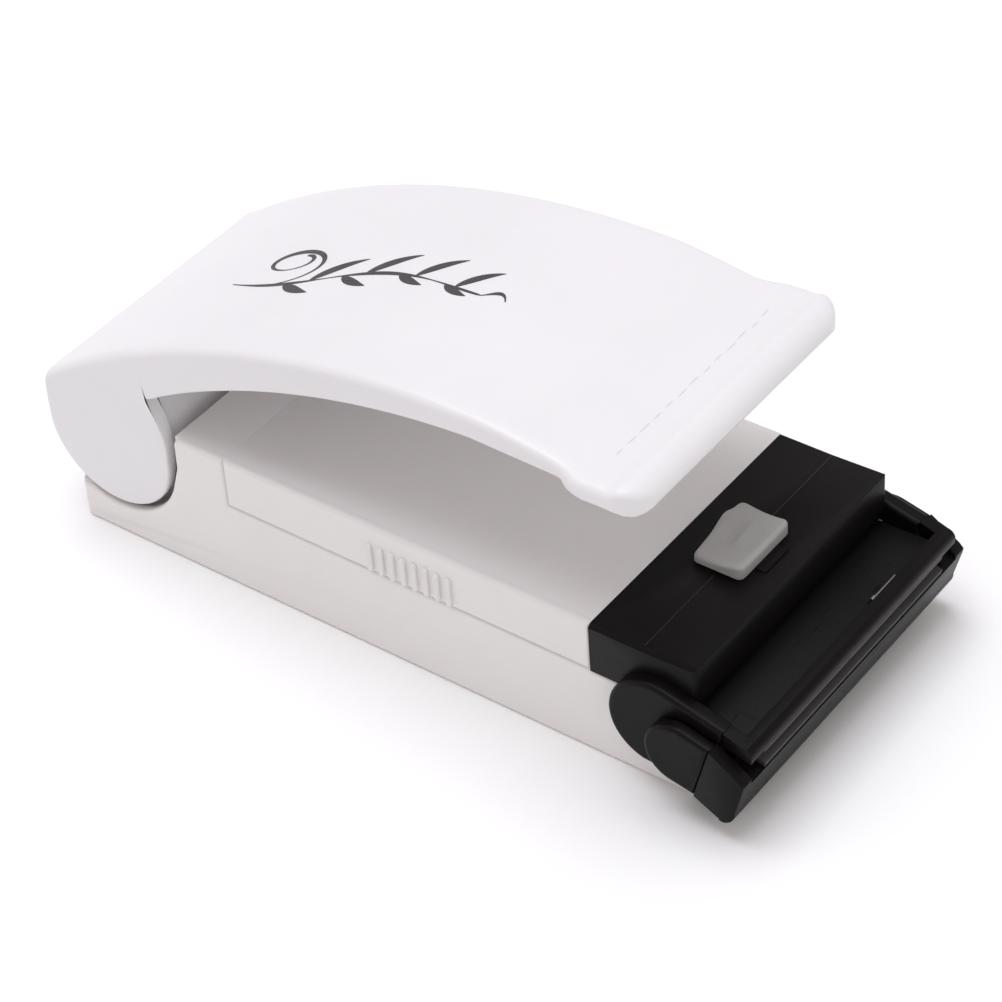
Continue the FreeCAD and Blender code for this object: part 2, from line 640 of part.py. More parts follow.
def torsion_spring():
    """Coil round the hinge pin, one leg down to the casing floor, one up into the lever."""
    wire_r = 0.4
    turns = 8
    pitch = 1.1
    leg_down = HINGE_Z - CRADLE_Z - wire_r - 0.1
    coil = wound_spring(wire_r, HINGE_PIN_DIAMETER / 2 + 0.9, pitch, turns, 8.5, leg_down)
    coil.rotate(V(0, 0, 0), V(1, 0, 0), -90)
    coil.translate(V(HINGE_X, -pitch * turns / 2, HINGE_Z))
    return coil


# ---------------------------------------------------------------- jaws
def upper_face(x):
    """Underside of the upper bar."""
    return UPPER_FACE_Z + (JAW_FRONT - x) * SEAL_TAN


def make_jaw_ear():
    """Fixed side plate of the jaw: round rear, sloping arm, cut off at the seam."""
    x, z, r = JAW_EAR_X, JAW_EAR_Z, JAW_EAR_RADIUS
    top = on_circle(x, z, r, 90 - JAW_SLOPE)
    low = on_circle(x, z, r, -90 - JAW_SLOPE)
    seam_low = low[1] - (JAW_SEAM - 1.2 - low[0]) * JAW_TAN * 0.35
    wire = outline(top, [("arc", (x - r, z), low), (JAW_SEAM - 1.2, seam_low),
                         (JAW_SEAM, ear_seam_top())])
    ear = slab(wire, HALF, JAW_EAR_OUT)
    ear = ear.makeFillet(0.5, edges_where(
        ear, lambda p: near(p.y, JAW_EAR_OUT) and p.x < JAW_SEAM - 1.0))
    return ear.cut(rod(JAW_X, HALF - 1, JAW_EAR_OUT + 1, JAW_Z, SHAFT_DIAMETER / 2 + RUNNING_CLEARANCE))


def ear_seam_top():
    """Height of the ears' top edge where the upper bar meets them."""
    top = on_circle(JAW_EAR_X, JAW_EAR_Z, JAW_EAR_RADIUS, 90 - JAW_SLOPE)
    return top[1] - (JAW_SEAM - top[0]) * JAW_TAN


def bar_nose():
    """Height where the upper bar's top turns down into its front."""
    return ear_seam_top() - (JAW_FRONT - 1.0 - JAW_SEAM) * JAW_TAN - 0.25


def upper_bar_back():
    """Lowest and highest point of the upper bar's rear face."""
    inner_x = JAW_FRONT - 2.6
    return (inner_x, upper_face(inner_x)), (JAW_FRONT - 1.7, bar_nose() + 0.35)


def make_upper_bar():
    """Slim fixed bar across the front, with tips that meet the ears at the seam."""
    nose_z = bar_nose()
    seam_top = ear_seam_top()
    low, high = upper_bar_back()
    bar = outline(low, [
        (JAW_FRONT - 0.1, upper_face(JAW_FRONT - 0.1)), (JAW_FRONT, nose_z - 1.2),
        ("arc", (JAW_FRONT - 0.3, nose_z - 0.35), (JAW_FRONT - 1.0, nose_z)), high])
    tip = outline((JAW_SEAM, upper_face(JAW_SEAM)), [
        (JAW_FRONT - 0.1, upper_face(JAW_FRONT - 0.1)), (JAW_FRONT, nose_z - 1.2),
        ("arc", (JAW_FRONT - 0.3, nose_z - 0.35), (JAW_FRONT - 1.0, nose_z)),
        (JAW_SEAM, seam_top)])
    return slab(bar, -HALF, HALF).fuse(both(slab(tip, HALF, JAW_EAR_OUT)))


def seal_strip(x0, x1, half_length, top_gap, thickness, angle=0.0):
    """Strip along Y that lies below the upper bar's face by top_gap."""
    wire = outline((x0, upper_face(x0) - top_gap), [
        (x1, upper_face(x1) - top_gap), (x1, upper_face(x1) - top_gap - thickness),
        (x0, upper_face(x0) - top_gap - thickness)])
    return turned(slab(wire, -half_length, half_length), JAW_X, JAW_Z, angle)


SEAL_X = JAW_FRONT - 1.35    # middle of the sealing line
TAPE_WIDTH = 2.4
PAD_TOP_GAP = RIBBON_THICKNESS + TAPE_THICKNESS + CLOSED_GAP


def make_tape():
    """PTFE tape, folded over the ribbon: a strip with a channel for the ribbon."""
    half = SEAL_LENGTH / 2 + 1.0
    full = seal_strip(SEAL_X - TAPE_WIDTH / 2, SEAL_X + TAPE_WIDTH / 2, half, 0,
                      RIBBON_THICKNESS + TAPE_THICKNESS)
    return full.cut(make_ribbon())


def make_ribbon():
    return seal_strip(SEAL_X - RIBBON_WIDTH / 2, SEAL_X + RIBBON_WIDTH / 2, SEAL_LENGTH / 2,
                      0, RIBBON_THICKNESS)


def make_pad():
    return seal_strip(SEAL_X - PAD_WIDTH / 2, SEAL_X + PAD_WIDTH / 2, SEAL_LENGTH / 2 + 1.0,
                      PAD_TOP_GAP, PAD_THICKNESS, JAW_TRAVEL)


def opened(x, z):
    """Where a point of the shut lower jaw lies with the jaw open."""
    point = V(x - JAW_X, 0, z - JAW_Z)
    turn = FreeCAD.Rotation(V(0, 1, 0), JAW_TRAVEL)
    point = turn.multVec(point)
    return (JAW_X + point.x, JAW_Z + point.z)


LOBE_RISE = 1.2          # end lobes stand above the bar's sealing face
BAR_LOW = 2.5
BAR_REAR = 17.9


def make_lower_bar():
    """Moving bar with end lobes that wrap round the fixed ears."""
    face_gap = PAD_TOP_GAP + PAD_PROUD
    top_front = opened(JAW_FRONT, upper_face(JAW_FRONT) - face_gap)
    top_rear = opened(BAR_REAR, upper_face(BAR_REAR) - face_gap)
    mid_x = JAW_SEAM + 0.45
    top_mid = opened(mid_x, upper_face(mid_x) - face_gap)
    front_low = (JAW_FRONT - 1.1, BAR_LOW + 2.2)
    bottom = (JAW_FRONT - 2.7, BAR_LOW)
    turn = ("arc", (JAW_FRONT - 1.65, BAR_LOW + 0.65), bottom)
    slope = JAW_TAN * 0.6
    core = slab(outline(top_rear, [
        top_front, front_low, turn, (BAR_REAR, BAR_LOW + (bottom[0] - BAR_REAR) * slope)]),
        -HALF + 0.3, HALF - 0.3)
    wide = slab(outline(top_mid, [
        top_front, front_low, turn, (mid_x, BAR_LOW + (bottom[0] - mid_x) * slope)]),
        -ARM_OUT, ARM_OUT)
    seam_top = arm_seam_top()
    seam_low = arm_seam_low()
    lobe = slab(outline(seam_top, [
        (top_front[0] - 0.5, top_front[1] + LOBE_RISE), (top_front[0] + 0.1, top_front[1] + 0.6),
        top_front, front_low, turn, seam_low]), ARM_IN, ARM_OUT)
    bar = core.fuse(wide).fuse(both(lobe))
    groove = seal_strip(SEAL_X - PAD_WIDTH / 2, SEAL_X + PAD_WIDTH / 2, SEAL_LENGTH / 2 + 1.0,
                        PAD_TOP_GAP, PAD_THICKNESS, JAW_TRAVEL)
    return bar.cut(groove)


def arm_seam_top():
    start = on_circle(ARM_X, ARM_Z, ARM_RADIUS, 90 - JAW_SLOPE)
    return (JAW_SEAM - 0.7, start[1] - (JAW_SEAM - 0.7 - start[0]) * JAW_TAN)


def arm_seam_low():
    low = on_circle(ARM_X, ARM_Z, ARM_RADIUS, -90 - JAW_SLOPE * 0.6)
    return (JAW_SEAM - 2.9, low[1] - (JAW_SEAM - 2.9 - low[0]) * JAW_TAN * 0.75)


def make_jaw_arm():
    """D-shaped arm outside the fixed ear, blind-bored for the shaft."""
    top = on_circle(ARM_X, ARM_Z, ARM_RADIUS, 90 - JAW_SLOPE)
    low = on_circle(ARM_X, ARM_Z, ARM_RADIUS, -90 - JAW_SLOPE * 0.6)
    wire = outline(top, [("arc", (ARM_X - ARM_RADIUS, ARM_Z), low), arm_seam_low(), arm_seam_top()])
    arm = slab(wire, ARM_IN, ARM_OUT)
    arm = arm.makeFillet(0.5, edges_where(
        arm, lambda p: near(p.y, ARM_OUT) and p.x < arm_seam_low()[0] + 0.5))
    return arm.cut(rod(JAW_X, ARM_IN - 1, ARM_IN + 1.0, JAW_Z, SHAFT_DIAMETER / 2))


# ---------------------------------------------------------------- slide button
def make_slide_button():
    rear = BUTTON_REAR
    front = rear + BUTTON_LENGTH
    half = BUTTON_WIDTH / 2
    low = BODY_HEIGHT + HEAD_RISE + BUTTON_AIR
    top = BODY_HEIGHT + BUTTON_HEIGHT
    side = outline((rear, low), [
        (front, low), (front, top - 0.5), (front - 0.9, top), (front - 1.8, top - 0.35),
        ("arc", ((rear + front) / 2 + 0.2, top - 0.75), (rear + 1.6, top - 0.2)),
        (rear + 0.9, top), (rear, top - 0.6)])
    block = slab(side, -half, half)
    block = block.makeFillet(0.6, edges_where(
        block, lambda p: near(abs(p.y), half) and (near(p.x, rear) or near(p.x, front))))
    stem_rear = rear + (BUTTON_LENGTH - BUTTON_STEM_LENGTH) / 2
    stem = box(stem_rear, stem_rear + BUTTON_STEM_LENGTH, -BUTTON_STEM_WIDTH / 2, BUTTON_STEM_WIDTH / 2,
               TOP_INNER - BUTTON_AIR - 1.0, low + 0.2)
    foot = box(stem_rear - 1.0, stem_rear + BUTTON_STEM_LENGTH + 1.0, -BUTTON_STEM_WIDTH / 2 - 1.2,
               BUTTON_STEM_WIDTH / 2 + 1.2, TOP_INNER - BUTTON_AIR - 1.2, TOP_INNER - BUTTON_AIR)
    return block.fuse(stem).fuse(foot)


# ---------------------------------------------------------------- switch and wires
SWITCH_X = 1.0
SWITCH_HALF = 3.0
SWITCH_DEPTH = 5.2
SWITCH_HEIGHT = 4.0
LEAF_THICKNESS = 0.3


def make_switch_block():
    return box(SWITCH_X - SWITCH_DEPTH / 2, SWITCH_X + SWITCH_DEPTH / 2, -SWITCH_HALF, SWITCH_HALF,
               FLOOR, FLOOR + SWITCH_HEIGHT)


def switch_leaf(x, height):
    base = FLOOR + SWITCH_HEIGHT
    return box(x, x + LEAF_THICKNESS, -SWITCH_HALF + 0.8, SWITCH_HALF - 0.8, base, base + height)


def wire_run(points):
    """Insulated wire: straight runs joined by round bends."""
    edges = []
    here = points[0]
    radius = LEAD_BEND
    for index in range(1, len(points) - 1):
        corner = points[index]
        into = (points[index] - points[index - 1]).normalize()
        out = (points[index + 1] - points[index]).normalize()
        turn = into.getAngle(out)
        cut = radius * math.tan(turn / 2)
        start = corner - into * cut
        end = corner + out * cut
        bisector = (out - into).normalize()
        centre = corner + bisector * (radius / math.cos(turn / 2))
        middle = centre - bisector * radius
        edges.append(Part.makeLine(here, start))
        edges.append(Part.Arc(start, middle, end).toShape())
        here = end
    edges.append(Part.makeLine(here, points[-1]))
    path = Part.Wire(edges)
    direction = (points[1] - points[0]).normalize()
    section = Part.Wire(Part.makeCircle(WIRE_DIAMETER / 2, points[0], direction))
    return path.makePipeShell([section], True, True)


def make_wires():
    """Three leads: cell to switch, switch to ribbon, ribbon back to cell."""
    start = BAY_FRONT + BAY_END_WALL
    low = FLOOR + 1.2
    plate = HEAD_LENGTH - 0.4
    rise_x = plate - 4.5
    exit_z = JAW_Z - SHAFT_DIAMETER / 2 - WIRE_DIAMETER / 2 - 0.5
    drop_x = start + 2.6
    first = [V(start, CELL_Y, CELL_Z), V(SWITCH_X, CELL_Y, CELL_Z), V(SWITCH_X, CELL_Y, low),
             V(SWITCH_X, SWITCH_HALF, low)]
    second = [V(SWITCH_X + SWITCH_DEPTH / 2, 0, low), V(rise_x, 0, low), V(rise_x, 0, exit_z),
              V(plate, 0, exit_z)]
    third = [V(start, -CELL_Y, CELL_Z), V(drop_x, -CELL_Y, CELL_Z), V(drop_x, -CELL_Y, low),
             V(rise_x, -CELL_Y, low), V(rise_x, -CELL_Y, exit_z), V(plate, -CELL_Y, exit_z)]
    return [wire_run(route) for route in (first, second, third)]


CLIP_THICKNESS = 0.35
CLIP_START = 7.0         # from the middle of the bar
CLIP_LENGTH = 5.5


def make_ribbon_clip():
    """Bright spring clip on the inner top edge of the upper bar, which holds the ribbon's end."""
    low, high = upper_bar_back()
    length = math.hypot(high[0] - low[0], high[1] - low[1])
    out_x = -(high[1] - low[1]) / length * CLIP_THICKNESS
    out_z = (high[0] - low[0]) / length * CLIP_THICKNESS
    wire = outline(low, [high, (high[0] + out_x, high[1] + out_z), (low[0] + out_x, low[1] + out_z)])
    return slab(wire, CLIP_START, CLIP_START + CLIP_LENGTH)


# ---------------------------------------------------------------- build
save("lower_casing", make_lower_casing())
save("upper_casing", make_upper_casing())
save("head_cover", make_head_cover())
save("front_plate", make_front_plate())
save("head_screws", Part.makeCompound([screw(SCREW_X, -SCREW_Y), screw(SCREW_X, SCREW_Y)]))
save("battery_door", make_battery_door())

save("battery_cell_left", cell(CELL_Y, True))
save("battery_cell_right", cell(-CELL_Y, False))
rear_face = BAY_REAR
front_face = BAY_FRONT - CONTACT_THICKNESS
save("contact_bridge", contact_plate(rear_face, -CELL_Y - 4.5, CELL_Y + 4.5))
save("contact_positive", contact_plate(front_face, CELL_Y - 4.5, CELL_Y + 4.5))
save("contact_negative", contact_plate(front_face, -CELL_Y - 4.5, -CELL_Y + 4.5))
save("contact_spring_rear", contact_spring(BAY_REAR + CONTACT_THICKNESS, CELL_Y, 3))
save("contact_spring_front", contact_spring(BAY_REAR + CONTACT_THICKNESS + CELL_LENGTH, -CELL_Y, 3))

save("lever_shell", make_lever_shell())
save("lever_crank_pins", Part.makeCompound([make_lever_crank_pin(), flipped(make_lever_crank_pin())]))
save("hinge_pin", rod(HINGE_X, -HALF + 0.9, HALF - 0.9, HINGE_Z, HINGE_PIN_DIAMETER / 2))
save("return_spring", torsion_spring())
save("pull_link_left", make_pull_link())
save("pull_link_right", flipped(make_pull_link()))

save("jaw_ear_left", make_jaw_ear())
save("jaw_ear_right", flipped(make_jaw_ear()))
save("upper_jaw_bar", make_upper_bar())
save("heating_ribbon", make_ribbon())
save("release_tape", make_tape())
save("ribbon_clip", make_ribbon_clip())
save("lower_jaw_bar", make_lower_bar())
save("jaw_arm_left", make_jaw_arm())
save("jaw_arm_right", flipped(make_jaw_arm()))
save("silicone_pad", make_pad())
save("jaw_shaft", rod(JAW_X, -ARM_IN - 1.0, ARM_IN + 1.0, JAW_Z, SHAFT_DIAMETER / 2))
save("jaw_crank_left", make_jaw_crank())
save("jaw_crank_right", flipped(make_jaw_crank()))

save("slide_button", make_slide_button())
save("switch_block", make_switch_block())
save("switch_leaf_fixed", switch_leaf(SWITCH_X + 1.0, 4.0))
save("switch_leaf_moving", switch_leaf(SWITCH_X - 1.3, 6.0))
lead_names = ("lead_cell_to_switch", "lead_switch_to_ribbon", "lead_ribbon_to_cell")
for lead_name, lead in zip(lead_names, make_wires()):
    save(lead_name, lead)
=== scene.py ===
# %% [markdown]
# # A hand-held bag heat sealer
# The real thing is a white moulded body with two AA cells in it, a long arched
# press lever hinged at the back, and a black head with a pair of sealing jaws.
# The imported model gives every piece its place, so the scene starts by loading
# it. The looks have to stay inside that box.

# %% Load the frame
import json
import math

import bmesh
import bpy
import numpy as np
from mathutils import Matrix, Vector

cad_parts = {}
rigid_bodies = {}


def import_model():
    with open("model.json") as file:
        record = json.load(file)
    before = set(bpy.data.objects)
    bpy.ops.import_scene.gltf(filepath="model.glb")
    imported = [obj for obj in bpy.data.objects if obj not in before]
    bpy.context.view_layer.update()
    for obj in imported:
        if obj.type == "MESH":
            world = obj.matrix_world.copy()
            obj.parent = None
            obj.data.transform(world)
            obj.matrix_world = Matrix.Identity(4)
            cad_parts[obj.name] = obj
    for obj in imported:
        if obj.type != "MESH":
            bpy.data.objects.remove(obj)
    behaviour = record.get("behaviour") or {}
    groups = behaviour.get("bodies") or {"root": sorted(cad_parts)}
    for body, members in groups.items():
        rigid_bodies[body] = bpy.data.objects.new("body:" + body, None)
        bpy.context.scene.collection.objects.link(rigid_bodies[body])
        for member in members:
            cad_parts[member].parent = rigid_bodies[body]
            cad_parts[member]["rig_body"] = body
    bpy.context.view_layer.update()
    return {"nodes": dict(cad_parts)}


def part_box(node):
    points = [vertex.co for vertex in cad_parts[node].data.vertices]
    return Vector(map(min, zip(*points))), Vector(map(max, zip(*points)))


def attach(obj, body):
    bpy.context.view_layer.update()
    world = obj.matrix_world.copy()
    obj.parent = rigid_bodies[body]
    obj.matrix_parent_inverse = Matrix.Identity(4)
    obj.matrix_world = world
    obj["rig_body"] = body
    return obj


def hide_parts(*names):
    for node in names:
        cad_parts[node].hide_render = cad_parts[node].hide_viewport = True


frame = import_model()
MM = 0.001


# %% [markdown]
# ## Camera
# A product like this is shown from its front corner, a little above eye level
# for something on a table. The camera has a place in metres and three turns:
# round the object, up, and a slight roll. A long lens keeps the sides nearly
# parallel.

# %% Camera
CAMERA_PLACE = (0.1645, -0.2359, 0.2676)
CAMERA_TURN, CAMERA_LIFT, CAMERA_ROLL = 0.68253, 0.70151, -0.07692   # radians
LENS, SENSOR = 118.95, 36.0                                          # millimetres


def camera_matrix(place, turn, lift, roll):
    """Camera's place and axes: its back points out along the turn and lift, and
    its right and up lie square to that, rolled about it."""
    back = Vector((math.sin(turn) * math.cos(lift), -math.cos(turn) * math.cos(lift), math.sin(lift)))
    right = (-back).cross(Vector((0, 0, 1))).normalized()
    up = right.cross(-back)
    rolled_right = right * math.cos(roll) + up * math.sin(roll)
    rolled_up = up * math.cos(roll) - right * math.sin(roll)
    matrix = Matrix((rolled_right, rolled_up, back)).transposed().to_4x4()
    matrix.translation = Vector(place)
    return matrix


camera_data = bpy.data.cameras.new("camera")
camera_data.lens, camera_data.sensor_width = LENS, SENSOR
camera_data.clip_start, camera_data.clip_end = 0.01, 10
camera = bpy.data.objects.new("camera", camera_data)
bpy.context.scene.collection.objects.link(camera)
camera.matrix_world = camera_matrix(CAMERA_PLACE, CAMERA_TURN, CAMERA_LIFT, CAMERA_ROLL)
bpy.context.scene.camera = camera
print("camera at", [round(c, 3) for c in camera.location], "m, lens", LENS, "mm")


# %% [markdown]
# ## Meshes from whole arrays
# Every new piece is a surface worked out with numpy: rows of points, one row
# per step along the piece, with the same number of points in each row. Linking
# each row to the next gives quads. Rows that shrink to a line or a point close
# the ends, and merging the doubled points there leaves a closed skin.

# %% Rows of points to a mesh
MERGE = 0.002 * MM
SHARP_ANGLE = math.radians(32)


def skin(rows, close_rows=False):
    """Vertices and quads of a grid of points: each row is a closed loop, and row
    i joins row i + 1 (and the last the first, when the rows close too)."""
    count, around = rows.shape[:2]
    index = np.arange(count * around).reshape(count, around)
    if close_rows:
        index = np.vstack([index, index[:1]])
    a, b = index[:-1], index[1:]
    quads = np.stack([a, b, np.roll(b, -1, 1), np.roll(a, -1, 1)], -1).reshape(-1, 4)
    return rows.reshape(-1, 3), quads


def cap(first, around, flip):
    """One flat face over a row that starts at point number first."""
    face = list(range(first, first + around))
    return face[::-1] if flip else face


def make_piece(name, finish, parts):
    """One mesh object from several closed skins, each (points in mm, faces).
    Doubled points are merged and the faces turned to point outwards."""
    mesh = bpy.data.meshes.new(name)
    whole = bmesh.new()
    for points, faces in parts:
        small = bpy.data.meshes.new("part")
        small.from_pydata((np.asarray(points) * MM).tolist(), [], [list(map(int, f)) for f in faces])
        part = bmesh.new()
        part.from_mesh(small)
        bmesh.ops.remove_doubles(part, verts=part.verts, dist=MERGE)
        bmesh.ops.dissolve_degenerate(part, edges=part.edges, dist=MERGE / 2)
        bmesh.ops.recalc_face_normals(part, faces=part.faces)
        part.to_mesh(small)
        part.free()
        whole.from_mesh(small)
        bpy.data.meshes.remove(small)
    whole.to_mesh(mesh)
    whole.free()
    mesh.materials.append(FINISHES[finish])
    mesh.polygons.foreach_set("use_smooth", np.ones(len(mesh.polygons), bool))
    mesh.set_sharp_from_angle(angle=SHARP_ANGLE)
    mesh.update()
    piece = bpy.data.objects.new(name, mesh)
    bpy.context.scene.collection.objects.link(piece)
    print(f"{name}: {len(mesh.vertices)} points, {len(mesh.polygons)} faces")
    return piece


print("points closer than", MERGE / MM, "mm are merged")

# %% Slabs with rounded edges
def outward(outline):
    """At each corner of a closed outline, the step that moves both its sides out
    by one: the two side normals added, over one plus their cosine."""
    before = outline - np.roll(outline, 1, 0)
    after = np.roll(outline, -1, 0) - outline
    normals = []
    for edge in (before, after):
        edge = edge / np.maximum(np.linalg.norm(edge, axis=1, keepdims=True), 1e-9)
        normals.append(np.stack([edge[:, 1], -edge[:, 0]], 1))
    cosine = np.clip((normals[0] * normals[1]).sum(1, keepdims=True), -0.4, 1)
    step = (normals[0] + normals[1]) / (1 + cosine)
    turn = np.cross(outline, np.roll(outline, -1, 0)).sum()
    return step if turn > 0 else -step


def slab(outline, y0, y1, radius=0.4, steps=4, support=0.12):
    """A side outline (x, z) carried from y0 to y1, with quarter-round edges: the
    outline is drawn in by radius at both faces, by radius * (1 - sin) between."""
    outline = np.asarray(outline, float)
    step = outward(outline)
    angle = np.linspace(0, math.pi / 2, steps + 1)
    inset = np.concatenate([[radius + support], radius * (1 - np.sin(angle))])
    depth = np.concatenate([[0], radius * (1 - np.cos(angle))])
    inset = np.concatenate([inset, inset[::-1]])
    level = np.concatenate([y0 + depth, (y1 - depth)[::-1]])
    plan = outline[None] - step[None] * inset[:, None, None]
    rows = np.stack([plan[..., 0], np.broadcast_to(level[:, None], plan.shape[:2]), plan[..., 1]], -1)
    points, quads = skin(rows)
    around = len(outline)
    faces = quads.tolist() + [cap(0, around, False), cap(len(points) - around, around, True)]
    return points, faces


def arc(centre, radius, start, stop, count):
    """Points of a circular arc, angles in degrees from +X towards +Z."""
    angle = np.radians(np.linspace(start, stop, count))
    return np.stack([centre[0] + radius * np.cos(angle), centre[1] + radius * np.sin(angle)], 1)


def rounded(corners, radii, count=6):
    """A closed outline with each corner replaced by an arc tangent to its sides,
    worked out as a curve between the two tangent points that bends at the corner."""
    corners = np.asarray(corners, float)
    points = []
    for here, radius in enumerate(radii):
        corner = corners[here]
        to_last = corners[here - 1] - corner
        to_next = corners[(here + 1) % len(corners)] - corner
        a = to_last / np.linalg.norm(to_last)
        b = to_next / np.linalg.norm(to_next)
        if radius <= 0:
            points.append(corner[None])
            continue
        half = math.acos(float(np.clip(a @ b, -1, 1))) / 2
        reach = radius / math.tan(half)
        middle = corner + (a + b) / np.linalg.norm(a + b) * radius / math.sin(half)
        start, stop = corner + a * reach - middle, corner + b * reach - middle
        share = np.linspace(0, 1, count)[:, None]
        angle = math.acos(float(np.clip(start @ stop / radius ** 2, -1, 1)))
        ray = (np.sin((1 - share) * angle) * start + np.sin(share * angle) * stop) / math.sin(angle)
        points.append(middle + ray)
    return np.vstack(points)


tile = slab(rounded([(0, 0), (9, 0), (9, 5), (0, 5)], [1] * 4), 0, 2)
print("a rounded tile has", len(tile[0]), "points and", len(tile[1]), "faces")


# %% [markdown]
# ## Surface effects
# Moulded plastic is never one flat colour: the tool leaves a fine grain, the
# flow leaves a faint mottle, and handling leaves hairline scuffs. Each effect
# is a shader node group, built once and placed in every material that needs it
# with its own values. A group only puts out masks and heights that vary over
# the surface, and the shader itself stays in the material.

# %% Group helpers
def new_group(name, inputs, outputs):
    """An empty shader node group with named number sockets."""
    tree = bpy.data.node_groups.new(name, "ShaderNodeTree")
    for label, value in inputs:
        socket = tree.interface.new_socket(label, in_out="INPUT", socket_type="NodeSocketFloat")
        socket.default_value = value
    for label in outputs:
        tree.interface.new_socket(label, in_out="OUTPUT", socket_type="NodeSocketFloat")
    start, end = tree.nodes.new("NodeGroupInput"), tree.nodes.new("NodeGroupOutput")
    return tree, start, end


def add(tree, kind, links=(), **values):
    """A node with its fields and socket values set and its inputs linked."""
    node = tree.nodes.new(kind)
    for key, value in values.items():
        if key.startswith("in_"):
            node.inputs[int(key[3:])].default_value = value
        else:
            setattr(node, key, value)
    for socket, source in links:
        tree.links.new(source, node.inputs[socket])
    return node


def math_node(tree, operation, *terms):
    """One sum: each term is a number or another node's output."""
    node = tree.nodes.new("ShaderNodeMath")
    node.operation = operation
    for socket, term in zip(node.inputs, terms):
        if isinstance(term, (int, float)):
            socket.default_value = term
        else:
            tree.links.new(term, socket)
    return node.outputs[0]


def noise_node(tree, vector, scale, detail):
    """Noise on a vector, with its scale linked."""
    node = add(tree, "ShaderNodeTexNoise", [("Vector", vector), ("Scale", scale)])
    node.inputs["Detail"].default_value = detail
    return node.outputs["Fac"]


print("node groups so far:", len(bpy.data.node_groups))

# %% Grain and scuffs
def grain_group():
    """Fine tool grain as a height, and slow mottle as a mask, on object coordinates."""
    tree, start, end = new_group("moulded_grain", [("Grain Scale", 2600), ("Mottle Scale", 70)],
                                 ["Height", "Mottle"])
    place = add(tree, "ShaderNodeTexCoord").outputs["Object"]
    tree.links.new(noise_node(tree, place, start.outputs[0], 3), end.inputs[0])
    tree.links.new(noise_node(tree, place, start.outputs[1], 2), end.inputs[1])
    return tree


def scuff_group():
    """Hairline scuffs: two stretched noises, each kept only where it peaks."""
    tree, start, end = new_group("hairline_scuffs", [("Scale", 260), ("Amount", 0.5)], ["Mask"])
    place = add(tree, "ShaderNodeTexCoord").outputs["Object"]
    masks = []
    for turn, stretch in (((0.3, 0.2, 0.6), (1, 12, 5)), ((0.1, 0.5, -0.9), (9, 1, 6))):
        lay = add(tree, "ShaderNodeMapping", [("Vector", place)])
        lay.inputs["Rotation"].default_value = turn
        lay.inputs["Scale"].default_value = stretch
        noise = noise_node(tree, lay.outputs[0], start.outputs[0], 2)
        peak = add(tree, "ShaderNodeMapRange", [("Value", noise)], in_1=0.64, in_2=0.72)
        masks.append(peak.outputs[0])
    both = math_node(tree, "MAXIMUM", masks[0], masks[1])
    tree.links.new(math_node(tree, "MULTIPLY", both, start.outputs[1]), end.inputs[0])
    return tree


GRAIN, SCUFFS = grain_group(), scuff_group()
print("node groups:", GRAIN.name, SCUFFS.name)


# %% Drawn metal
def drawn_group():
    """Drawn or rolled metal: noise stretched along the piece, as a height and a mask."""
    tree, start, end = new_group("drawn_metal", [("Scale", 900), ("Stretch", 0.06)], ["Height", "Streak"])
    place = add(tree, "ShaderNodeTexCoord").outputs["Object"]
    split = add(tree, "ShaderNodeSeparateXYZ", [("Vector", place)])
    join = add(tree, "ShaderNodeCombineXYZ", [
        ("X", split.outputs[0]), ("Z", split.outputs[2]),
        ("Y", math_node(tree, "MULTIPLY", split.outputs[1], start.outputs[1]))])
    noise = noise_node(tree, join.outputs[0], start.outputs[0], 4)
    streak = add(tree, "ShaderNodeMapRange", [("Value", noise)], in_1=0.35, in_2=0.65)
    tree.links.new(noise, end.inputs[0])
    tree.links.new(streak.outputs[0], end.inputs[1])
    return tree


DRAWN = drawn_group()
print("node group:", DRAWN.name)


# %% [markdown]
# ## Finishes
# Plastic is a base colour that wanders slightly with the mottle, a roughness
# that the grain and scuffs push up or down, and a low bump from the grain.
# Metal is the same idea with the drawn streaks instead of the grain.

# %% Plastic and metal
def tinted(tree, mask, low, high, colour):
    """Base colour between two shades of the same colour, driven by a mask."""
    mix = tree.nodes.new("ShaderNodeMix")
    mix.data_type = "RGBA"
    tree.links.new(mask, mix.inputs["Factor"])
    mix.inputs["A"].default_value = (*[c * low for c in colour], 1)
    mix.inputs["B"].default_value = (*[min(c * high, 1) for c in colour], 1)
    return mix.outputs["Result"]


def new_material(name):
    """A material with its Principled shader, ready for links."""
    material = bpy.data.materials.new(name)
    material.use_nodes = True
    return material, material.node_tree, material.node_tree.nodes["Principled BSDF"]


def bump_with(tree, shader, height, strength, depth):
    """A bump of a given depth in mm, from a height that varies over the surface."""
    bumps = add(tree, "ShaderNodeBump", [("Height", height)])
    bumps.inputs["Strength"].default_value = strength
    bumps.inputs["Distance"].default_value = depth * MM
    tree.links.new(bumps.outputs[0], shader.inputs["Normal"])


